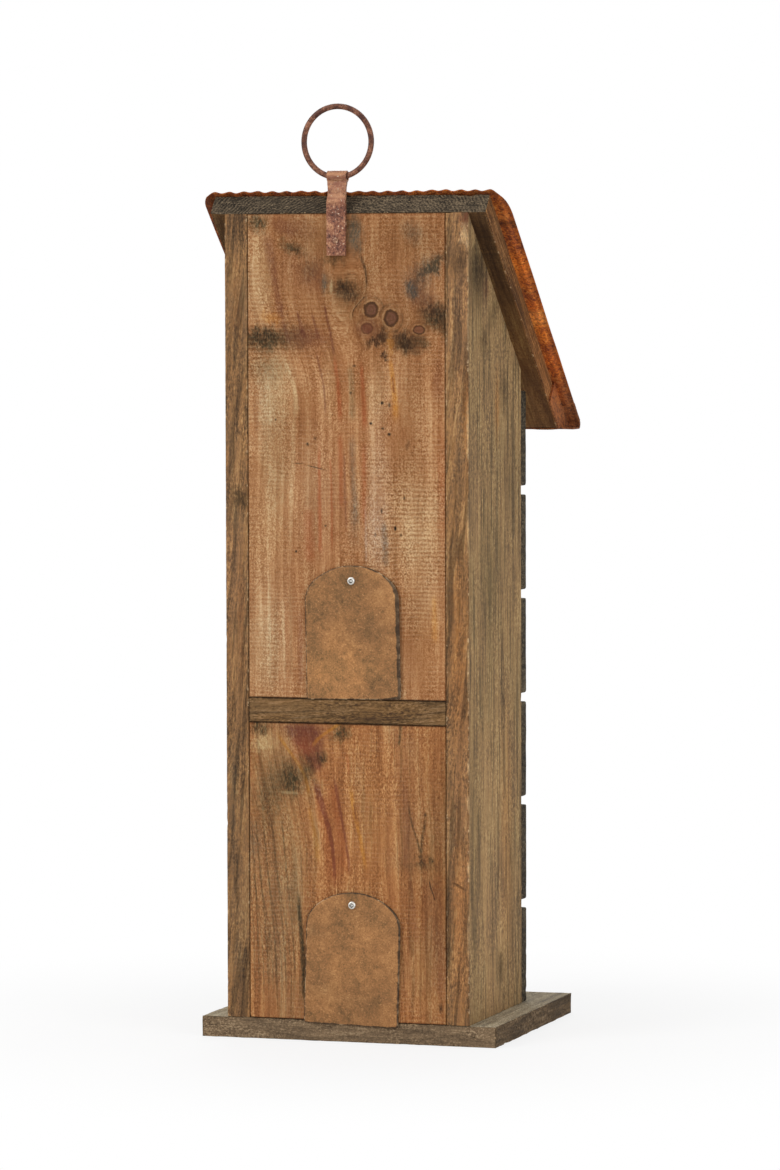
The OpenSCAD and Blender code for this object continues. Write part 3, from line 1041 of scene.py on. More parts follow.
@dataclass(frozen=True)
class RustFinish:
    """Thin sheet rusted through its paint, with darker scabs, bright blooms, a dirty low end, a darker rim
    and painted shade on the downward-facing lap.
    """

    name: str = "rusted sheet"
    low_end: float = 0.388
    blooms: tuple[tuple[float, float, float, float, str, float], ...] = (
        (76.7, 503.5, 61.6, 20.2, "6a3a1e", 0.55),
        (26.8, 463.8, 38.1, 10.7, "c8692a", 0.7),
        (-3.1, 439.3, 47.5, 7.1, "c4672c", 0.6),
        (-13.9, 432, 34.8, 9.5, "e8a04a", 0.9),
        (-11.7, 421.8, 30.3, 10.7, "cf7530", 0.7),
        (-44.5, 405.7, 44.3, 13.1, "c86c30", 0.7),
        (62.3, 480.8, 24.9, 11.9, "a8502a", 0.5),
        (45.6, 488.6, 25.1, 4.8, "3d2a1e", 0.75),
        (20.4, 450.7, 25.6, 10.7, "7e3c26", 0.6),
        (-48.9, 389.1, 26.7, 14.3, "6a3424", 0.7),
        (-22.5, 413.8, 26.2, 4.8, "6a3822", 0.6),
    )

    def material(self) -> bpy.types.Material:
        """Builds the material.

        Returns:
            The material.
        """
        mat, s, shader = new_material(self.name)
        place = s.place()
        slope = s.add("Mapping", {"Vector": place, "Rotation": (-ROOF_PITCH, 0, 0)})
        rust = s.use(shop.corrosion(), place=place)
        run = s.cells(slope, (0.004, 0.02, 0.02), 3.0, 0.6)
        across = s.cells(slope, (0.012, 0.0022, 0.012), 3.0, 0.65)
        tone = rust["Bloom"] * 0.30 + rust["Flake"] * 0.30 + rust["Grit"] * 0.40
        colour = s.ramp(tone * 1.5 - 0.25, (
            (0.28, "572e20"), (0.40, "934c2e"), (0.50, "c1672f"), (0.60, "e88435"), (0.74, "f5b264"),
        ))
        colour = s.mix(s.spread(run, 0.48, 0.66, 0.0, 0.4), colour, "6c4029")
        colour = s.mix(s.spread(across, 0.54, 0.66, 0.0, 0.5), colour, "5e3624")
        bright = s.cells(slope, (0.009, 0.016, 0.016), 4.0, 0.6)
        colour = s.mix(s.spread(bright, 0.58, 0.70, 0.0, 0.5), colour, "dc8a44")
        colour = s.mix(s.spread(rust["Flake"], 0.60, 0.68) * 0.35, colour, "e2a468")
        colour = s.mix(s.spread(rust["Grit"], 0.42, 0.32) * 0.8, colour, "3c261d")
        colour = s.mix(s.spread(rust["Grit"], 0.60, 0.72, 0.0, 0.5), colour, "dc9c5c")
        x, y, up = s.split(place)
        flat = s.join(y + (rust["Flake"] - 0.5) * 0.02, up)
        near_side = s.spread(abs(x), 0.05, 0.088)
        for along, high, wide, tall, ink, strength in self.blooms:
            mask = shop.spot(s, flat, along, high, wide, tall, 1.0)["Mask"] * strength * near_side
            colour = s.soak(mask, colour, paint(ink), paint("a05a30"), 2.6, 0.7)
        wavy = up + rust["Bloom"] * 0.02
        dirty = s.spread(wavy, self.low_end + 0.018, self.low_end, 0.0, 0.85)
        colour = s.mix(dirty, colour, s.mix(s.spread(rust["Grit"], 0.35, 0.62), "5c3f30", "a5683f"))
        # Painted shade on the downward-facing lap of the sheet near its side; the outer rim and the high end
        # are darkened as well.
        facing = s.split(s.add("NewGeometry", out="Normal"))
        lap_shade = s.spread(x, 0.084, 0.087) * s.spread(facing[2], -0.1, -0.4)
        rim = s.spread(abs(x), 0.0925, 0.0945, 0.0, 0.55)
        high_end = s.spread(s.split(slope)[1], 0.3795, 0.3835, 0.0, 0.6)
        edge = s.math("MAXIMUM", s.math("MAXIMUM", lap_shade * 0.85, rim), high_end)
        colour = s.tint(edge, colour, (0.30, 0.27, 0.30, 1.0))
        height = rust["Flake"] * 0.9 + rust["Grit"] * 0.9 - s.spread(rust["Cell"], 0.3, 0.0) * 0.2
        finish_material(s, shader, colour, s.spread(rust["Bloom"], 0.3, 0.7, 0.92, 0.72), height, 0.6 * MM)
        return mat


@dataclass(frozen=True)
class BronzeFinish:
    """Mottled bronze wash on a thin metal door, grey where its rim is rolled, with painted shade that widens
    this band along the lifted free side, and rubbed pale at the edge.
    """

    name: str
    lift: float
    seed: float
    grey: tuple[tuple[float, float, float, float], ...]
    band: float

    def material(self, pivot: Vector) -> bpy.types.Material:
        """Builds the material.

        Args:
            pivot: Centre of the door's screw, from which the grey patches are measured.

        Returns:
            The material.
        """
        mat, s, shader = new_material(self.name)
        own = s.add("Mapping", {"Vector": s.place(), "Location": tuple(-pivot)})
        drift = s.vector("ADD", own, (self.seed, 0, self.seed))
        cloud = s.noise(drift, 46.0, 3.0, 0.55, 0.4)
        mottle = s.noise(drift, 190.0, 3.0, 0.6, 0.6)
        dust = s.noise(drift, 950.0, 2.0, 0.75, 0.4)
        tone = cloud * 0.38 + mottle * 0.26 + dust * 0.36 + self.lift
        colour = s.ramp(tone, (
            (0.34, "5d462b"), (0.44, "845f3a"), (0.52, "9c6d42"), (0.60, "b17f4e"), (0.72, "cc9c65"),
        ))
        x, _, z = s.split(own)
        flat = s.join(x + (mottle - 0.5) * 0.02, z)
        for across, up, size, strength in self.grey:
            mask = shop.spot(s, flat, across, up, 2 * size, 1.6 * size, 1.0)["Mask"] * abs(strength)
            tone = (0.44, 0.50, 0.56, 1.0) if strength > 0 else (1.5, 1.5, 1.45, 1.0)
            colour = s.tint(mask, colour, tone)
        colour = s.mix(s.spread(dust, 0.60, 0.74, 0.0, 0.45), colour, "d0a26c")
        colour = s.mix(s.spread(dust, 0.40, 0.28, 0.0, 0.4), colour, "4c3925")
        depth = s.add("Attribute", out="Fac", attribute_name="rim_depth")
        free = s.add("Attribute", out="Fac", attribute_name="free_side")
        # The rolled rim is painted dark, and the dark band widens along the lifted free side as painted
        # shade.
        reach = free * self.band + 0.45
        uneven = depth + (mottle - 0.5) * 1.6
        rolled = s.spread(uneven, reach + 0.3, reach - 0.3)
        colour = s.mix(rolled * 0.9, colour, s.mix(s.spread(mottle, 0.4, 0.6), "2a2219", "544433"))
        rubbed = s.spread(uneven, 0.75, 0.25) * s.spread(mottle, 0.52, 0.62) * (1.0 - free * 0.75)
        colour = s.mix(rubbed * 0.8, colour, "c9ab83")
        height = dust * 0.8 + mottle * 1.2
        shader.inputs["Metallic"].default_value = 0.1
        finish_material(s, shader, colour, s.spread(mottle, 0.35, 0.7, 0.66, 0.48), height, 0.16 * MM, 0.25)
        return mat


@dataclass(frozen=True)
class WornPaintFinish:
    """Copper-coloured paint with scratches, dark specks and chips, and where asked a painted highlight with
    crease glints over its upper part.
    """

    name: str
    dark: str
    mid: str
    light: str
    chip: str
    chips: float
    scale: float = 1.0
    lit_above: Optional[float] = None

    def material(self) -> bpy.types.Material:
        """Builds the material.

        Returns:
            The material.
        """
        mat, s, shader = new_material(self.name)
        place = s.place()
        cloud = s.noise(place, 120.0 * self.scale, 4.0, 0.6, 0.4)
        speck = s.noise(place, 700.0 * self.scale, 4.0, 0.7)
        scratch = s.cells(place, (0.0006, 0.0012, 0.006), 2.0, 0.6)
        tone = cloud * 0.5 + speck * 0.5
        colour = s.ramp(tone, ((0.40, self.dark), (0.5, self.mid), (0.60, self.light)))
        # Painted highlight: above the given height the paint is lightened, with crease glints, as if that
        # part caught the light.
        if self.lit_above is not None:
            crease_glint = s.cells(place, (0.009, 0.009, 0.0022), 3.0, 0.6)
            high = s.spread(s.split(place)[2], self.lit_above - 0.002, self.lit_above + 0.002)
            colour = s.mix(high * 0.7, colour, s.mix(s.spread(crease_glint, 0.36, 0.64), self.mid, self.light))
        flaked = s.spread(speck, 0.60, 0.68) * self.chips
        colour = s.mix(flaked, colour, self.chip)
        colour = s.mix(s.spread(scratch, 0.64, 0.76, 0.0, 0.4 * self.chips), colour, self.chip)
        colour = s.mix(s.spread(speck, 0.44, 0.32, 0.0, 0.75), colour, "3c241c")
        height = cloud * 1.2 - flaked * 0.5
        shader.inputs["Metallic"].default_value = 0.25
        finish_material(s, shader, colour, s.spread(speck, 0.3, 0.7, 0.38, 0.66), height, 0.2 * MM, 0.3)
        return mat


@dataclass(frozen=True)
class BareMetalFinish:
    """Bare fastener metal, bright or dulled, with fine turning marks and specks of rust."""

    name: str
    bright: str
    dull: str
    rough: float
    rust: float
    ring: float = 0.0

    def material(self, middle: Vector = Vector()) -> bpy.types.Material:
        """Builds the material.

        Args:
            middle: Centre of a screw's head.

        Returns:
            The material.
        """
        mat, s, shader = new_material(self.name)
        place = s.place()
        fine = s.noise(place, 1800.0, 3.0, 0.6)
        spots = s.noise(place, 520.0, 3.0, 0.65)
        colour = s.mix(s.spread(fine, 0.38, 0.62), self.dull, self.bright)
        colour = s.mix(s.spread(spots, 0.56, 0.68, 0.0, self.rust), colour, "6d4226")
        if self.ring:
            x, _, z = s.split(s.vector("SUBTRACT", place, tuple(middle)))
            reach = s.math("SQRT", x * x + z * z)
            groove = abs(reach - self.ring * MM)
            colour = s.mix(s.spread(groove, 0.34 * MM, 0.16 * MM, 0.0, 0.9), colour, "4a453e")
        shader.inputs["Metallic"].default_value = 0.85
        rough = s.spread(spots, 0.3, 0.7, self.rough, self.rough + 0.25)
        finish_material(s, shader, colour, rough, fine, 0.05 * MM, 0.5)
        return mat


@dataclass
class Face:
    """One main plane of a board: the outward normal, and its distance from the origin along it."""

    normal: Vector
    reach: float


@dataclass
class WornPiece:
    """Piece cut into a fine grid whose arrises are worn down and chipped, always inwards."""

    node: str
    name: str
    body: str = "house"
    step: float = 3.0
    wear: float = 0.35
    chip: float = 0.9
    band: float = 2.4
    tilt: float = 0.0
    dent: float = 0.0
    dent_size: float = 18.0
    crumple: float = 0.0
    crumple_size: tuple[float, float, float] = (14.0, 60.0, 60.0)
    seed: float = 0.0
    from_box: bool = True
    trims: tuple[tuple[Vector, Vector], ...] = ()
    cuts_near: tuple[float, ...] = (0.5, 1.2, 2.4)
    sharp: float = 50.0
    spared_above: float = 9999.0

    def frame_axes(self) -> list[Vector]:
        """Returns the three axes that the cuts are square to."""
        turn = Matrix.Rotation(self.tilt, 3, "X")
        return [turn @ Vector(axis) for axis in ((1, 0, 0), (0, 1, 0), (0, 0, 1))]

    def stock(self) -> bmesh.types.BMesh:
        """Makes the piece before it is worn: a block trimmed to shape, or the CAD solid's own shape.

        Returns:
            The bmesh.
        """
        bm = bmesh.new()
        if self.from_box:
            low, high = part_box(self.node)
            if self.tilt:
                low, high = tilted_box(self.node, self.tilt)
            size = Vector(high) - Vector(low)
            middle = (Vector(high) + Vector(low)) / 2
            placed = Matrix.Rotation(self.tilt, 4, "X") @ Matrix.Translation(middle)
            bmesh.ops.create_cube(bm, size=1.0, matrix=placed @ Matrix.Diagonal((*size, 1.0)))
            for point, normal in self.trims:
                rim = [e for e in cut(bm, point, normal, True) if isinstance(e, bmesh.types.BMEdge)]
                bmesh.ops.holes_fill(bm, edges=rim, sides=0)
        else:
            take_cad(bm, self.node)
        return bm

    def main_faces(self, bm: bmesh.types.BMesh) -> list[Face]:
        """Finds the main planes of the piece, each once.

        Args:
            bm: Mesh of the piece.

        Returns:
            The planes.
        """
        found: list[Face] = []
        for face in bm.faces:
            if face.calc_area() < 9e-5:
                continue
            normal = face.normal.copy()
            reach = normal.dot(face.verts[0].co)
            if not any(f.normal.dot(normal) > 0.999 and abs(f.reach - reach) < 2e-4 for f in found):
                found.append(Face(normal, reach))
        return found

    def gridded(self, bm: bmesh.types.BMesh) -> None:
        """Cuts the piece along its three axes, more closely near its ends.

        Args:
            bm: Mesh of the piece.
        """
        for axis in self.frame_axes():
            along = [axis.dot(v.co) for v in bm.verts]
            low, high = min(along), max(along)
            span = high - low
            places = {round(low + k * MM, 6) for k in self.cuts_near if k * MM < span / 2}
            places |= {round(high - k * MM, 6) for k in self.cuts_near if k * MM < span / 2}
            count = max(1, round(span / (self.step * MM)))
            places |= {round(low + span * k / count, 6) for k in range(1, count)}
            for place in sorted(places):
                cut(bm, axis * place, axis)

    def worn(self, bm: bmesh.types.BMesh, faces: Sequence[Face]) -> None:
        """Pushes the points near the arrises inwards, by an uneven amount, with chips here and there.

        Args:
            bm: Mesh of the piece.
            faces: Its main planes.
        """
        band = self.band * MM
        for vert in bm.verts:
            here = vert.co
            if here.z > self.spared_above * MM:
                vert.co = here + self.crumpled(here)
                continue
            gaps = ((f.reach - f.normal.dot(here), i) for i, f in enumerate(faces))
            near = [pair for pair in sorted(gaps, key=lambda pair: pair[0]) if pair[0] > -1e-5]
            shift = Vector()
            if self.dent and near and near[0][0] < 1e-5:
                swell = noise.noise(here / (self.dent_size * MM) + Vector((self.seed, 7.0, 3.0)))
                shift -= faces[near[0][1]].normal * (self.dent * MM * max(0.0, 0.5 + swell))
            if len(near) > 1 and near[1][0] < band:
                closeness = (1.0 - near[1][0] / band) * max(0.0, 1.0 - near[0][0] / band)
                spot = here / (9.0 * MM) + Vector((self.seed, 0.0, 0.0))
                slow = 0.5 + 0.5 * noise.noise(spot)
                quick = noise.noise(here / (2.6 * MM) + Vector((0.0, self.seed, 5.0)))
                lost = max(0.0, noise.noise(here / (6.5 * MM) + Vector((3.0, 1.0, self.seed))) - 0.42) * 3.2
                amount = self.wear * (0.25 + slow + 0.35 * quick) + self.chip * min(1.0, lost)
                inward = -(faces[near[0][1]].normal + faces[near[1][1]].normal)
                if inward.length > 0.3:
                    shift += inward.normalized() * (max(0.0, amount) * MM * closeness * closeness)
            vert.co = here + shift + self.crumpled(here)

    def crumpled(self, here: Vector) -> Vector:
        """Returns how far a point of a thin sheet is pushed out of its even shape.

        Args:
            here: The point.

        Returns:
            The push, in metres.
        """
        if not self.crumple:
            return Vector()
        local = Matrix.Rotation(-self.tilt, 3, "X") @ here
        spot = Vector(local[k] / (self.crumple_size[k] * MM) for k in range(3))
        swell = noise.noise(spot + Vector((self.seed, 1.0, 2.0)))
        swell += 0.4 * noise.noise(spot * 2.7 + Vector((5.0, self.seed, 0.0)))
        return Matrix.Rotation(self.tilt, 3, "X") @ Vector((0.0, 0.0, swell * self.crumple * MM))

    def build(self) -> bpy.types.Object:
        """Builds the piece, hides its CAD node and hangs it on its body.

        Returns:
            The new object, without a material.
        """
        bm = self.stock()
        faces = self.main_faces(bm)
        self.gridded(bm)
        self.worn(bm, faces)
        piece = as_object(bm, self.name, self.sharp)
        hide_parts(self.node)
        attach(piece, self.body)
        return piece


def cut(bm: bmesh.types.BMesh, point: Vector, normal: Vector, clear: bool = False) -> list:
    """Cuts everything along a plane.

    Args:
        bm: Mesh to cut.
        point: Point of the plane.
        normal: Its normal.
        clear: Whether what lies in front of it goes.

    Returns:
        What lies in the plane.
    """
    everything = bm.verts[:] + bm.edges[:] + bm.faces[:]
    plane = {"plane_co": point, "plane_no": normal}
    return bmesh.ops.bisect_plane(bm, geom=everything, dist=1e-7, clear_outer=clear, **plane)["geom_cut"]


def take_cad(bm: bmesh.types.BMesh, node: str) -> None:
    """Takes over the CAD shape of a node, with its flat faces made whole.

    Args:
        bm: Mesh that takes it.
        node: Name of the node.
    """
    bm.from_mesh(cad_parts[node].data)
    bmesh.ops.remove_doubles(bm, verts=bm.verts[:], dist=2e-6)
    bmesh.ops.dissolve_limit(bm, angle_limit=math.radians(0.4), verts=bm.verts[:], edges=bm.edges[:])


def tilted_box(node: str, tilt: float) -> tuple[Vector, Vector]:
    """Returns the box of a CAD node in a frame turned about X.

    Args:
        node: Name of the node.
        tilt: Turn of the frame, in radians.

    Returns:
        Lowest and highest corner in the turned frame.
    """
    back = Matrix.Rotation(-tilt, 3, "X")
    points = [back @ v.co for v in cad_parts[node].data.vertices]
    low = Vector(min(p[k] for p in points) for k in range(3))
    high = Vector(max(p[k] for p in points) for k in range(3))
    return low, high


def as_object(bm: bmesh.types.BMesh, name: str, sharp: float) -> bpy.types.Object:
    """Turns a bmesh into an object of the scene, smooth except at sharp arrises.

    Args:
        bm: The bmesh, which is freed.
        name: Name of the object.
        sharp: Angle in degrees above which an edge stays sharp.

    Returns:
        The object.
    """
    bmesh.ops.recalc_face_normals(bm, faces=bm.faces[:])
    mesh = bpy.data.meshes.new(name)
    bm.to_mesh(mesh)
    bm.free()
    mesh.shade_smooth()
    mesh.set_sharp_from_angle(angle=math.radians(sharp))
    piece = bpy.data.objects.new(name, mesh)
    bpy.context.scene.collection.objects.link(piece)
    return piece


def dress(piece: bpy.types.Object, material: bpy.types.Material) -> None:
    """Gives a new piece its material.

    Args:
        piece: The piece.
        material: Its material.
    """
    piece.data.materials.clear()
    piece.data.materials.append(material)
    log.info("%s: %d faces, %s", piece.name, len(piece.data.polygons), material.name)


def board(node: str, slot: str, finish: WoodFinish, **shape: object) -> None:
    """Builds one worn board in place of its CAD node, and dresses it.

    Args:
        node: Name of the CAD node.
        slot: Not used.
        finish: Its finish.
        shape: Fields of WornPiece.
    """
    piece = WornPiece(node, node.replace("_", "-"), **shape).build()
    low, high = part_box(node)
    dress(piece, finish.material(low, high))


def repaint(node: str, material: bpy.types.Material) -> None:
    """Gives a CAD node a better material in its own slots.

    Args:
        node: Name of the CAD node.
        material: The better material.
    """
    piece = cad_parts[node]
    for place in piece.material_slots:
        place.material = material
    log.info("%s: carried over, %s", node, material.name)


PINE = WoodSkin(
    "865530", "a16c44", "b58256", "cca174", streak=4.6, stretch=34, sway=5, saw=0.6, flecks=0.75, tooth=1.0,
    nap=1.1,
)
STAINED = WoodSkin(
    "804f2c", "a2693f", "b9814f", "d2a16d", streak=4.2, stretch=26, sway=7, saw=0.34, flecks=0.75,
    tooth=0.85, lines=0.6, nap=1.6, grey=0.2,
)
STILE = WoodSkin(
    "604731", "8a6644", "a3774b", "c09765", streak=3.6, stretch=17, sway=9, saw=0.12, flecks=0.65,
    grey=0.25, tilt=4, tooth=0.95, bands=0.8, lines=0.55, nap=2.4,
)
SIDE = WoodSkin(
    "6f5942", "937551", "a7865b", "c2a373", streak=3.4, stretch=30, sway=5, saw=0.1, flecks=0.6,
    grey=0.25, grey_ink=Ink.OLIVE, tooth=0.95, nap=2.4, bands=0.8,
)
RAIL = WoodSkin(
    "4a3626", "6f5334", "886641", "a27f59", Grain.ALONG_X, streak=2.2, stretch=16, sway=14, flecks=0.5,
    grey=0.2, tilt=3, bands=0.6, lines=0.5, tooth=0.8, nap=2.4,
)
BASE_TOP = WoodSkin(
    "736a5c", "9c8e76", "baab8d", "dacdb1", Grain.ALONG_Y, streak=3.5, stretch=20, sway=6, flecks=0.5,
    grey=0.3, relief=0.9,
)
BASE_EDGE = WoodSkin(
    "594938", "74604a", "8a7358", "ae9677", Grain.ALONG_X, streak=2.4, stretch=9, flecks=0.7, end_grain=0.4,
    relief=0.8,
)
BASE_SIDE = WoodSkin(
    "3f3326", "564633", "6b563f", "8d775c", Grain.ALONG_Y, streak=2.6, stretch=14, sway=8, flecks=0.6,
    end_grain=0.4, relief=0.8,
)
ROOF_UNDER = WoodSkin(
    "432c19", "5b3f23", "6d4e2d", "86683c", Grain.ALONG_Y, streak=4, stretch=26, flecks=0.4, relief=0.4,
    tooth=0.6,
)
ROOF_END = WoodSkin(
    "221d17", "3c3429", "534739", "86745c", Grain.ALONG_X, streak=2.0, stretch=4, flecks=0.6, end_grain=0.5,
    arcs=0.42, relief=0.9, tooth=1.3,
)
ROOF_SIDE = WoodSkin(
    "4e321c", "77502d", "946438", "c99259", Grain.ALONG_Y, streak=1.4, stretch=26, flecks=0.7, relief=0.7,
    bands=0.7, tooth=0.8,
)
SLAT = WoodSkin(
    "3a3226", "544a3b", "695d4a", "8b7e68", Grain.ALONG_X, streak=4, stretch=26, sway=6, flecks=0.6,
    grey=0.4, relief=1.0,
)
SLAT_END = WoodSkin(
    "231e17", "3b3328", "4c4232", "6c604c", Grain.ALONG_Y, streak=2, stretch=4, flecks=0.6, end_grain=0.5,
    relief=0.9, tooth=1.4,
)
FRONT = WoodSkin("6b4a2e", "8a6038", "a1744a", "b98e62", streak=5, stretch=26, flecks=0.5)


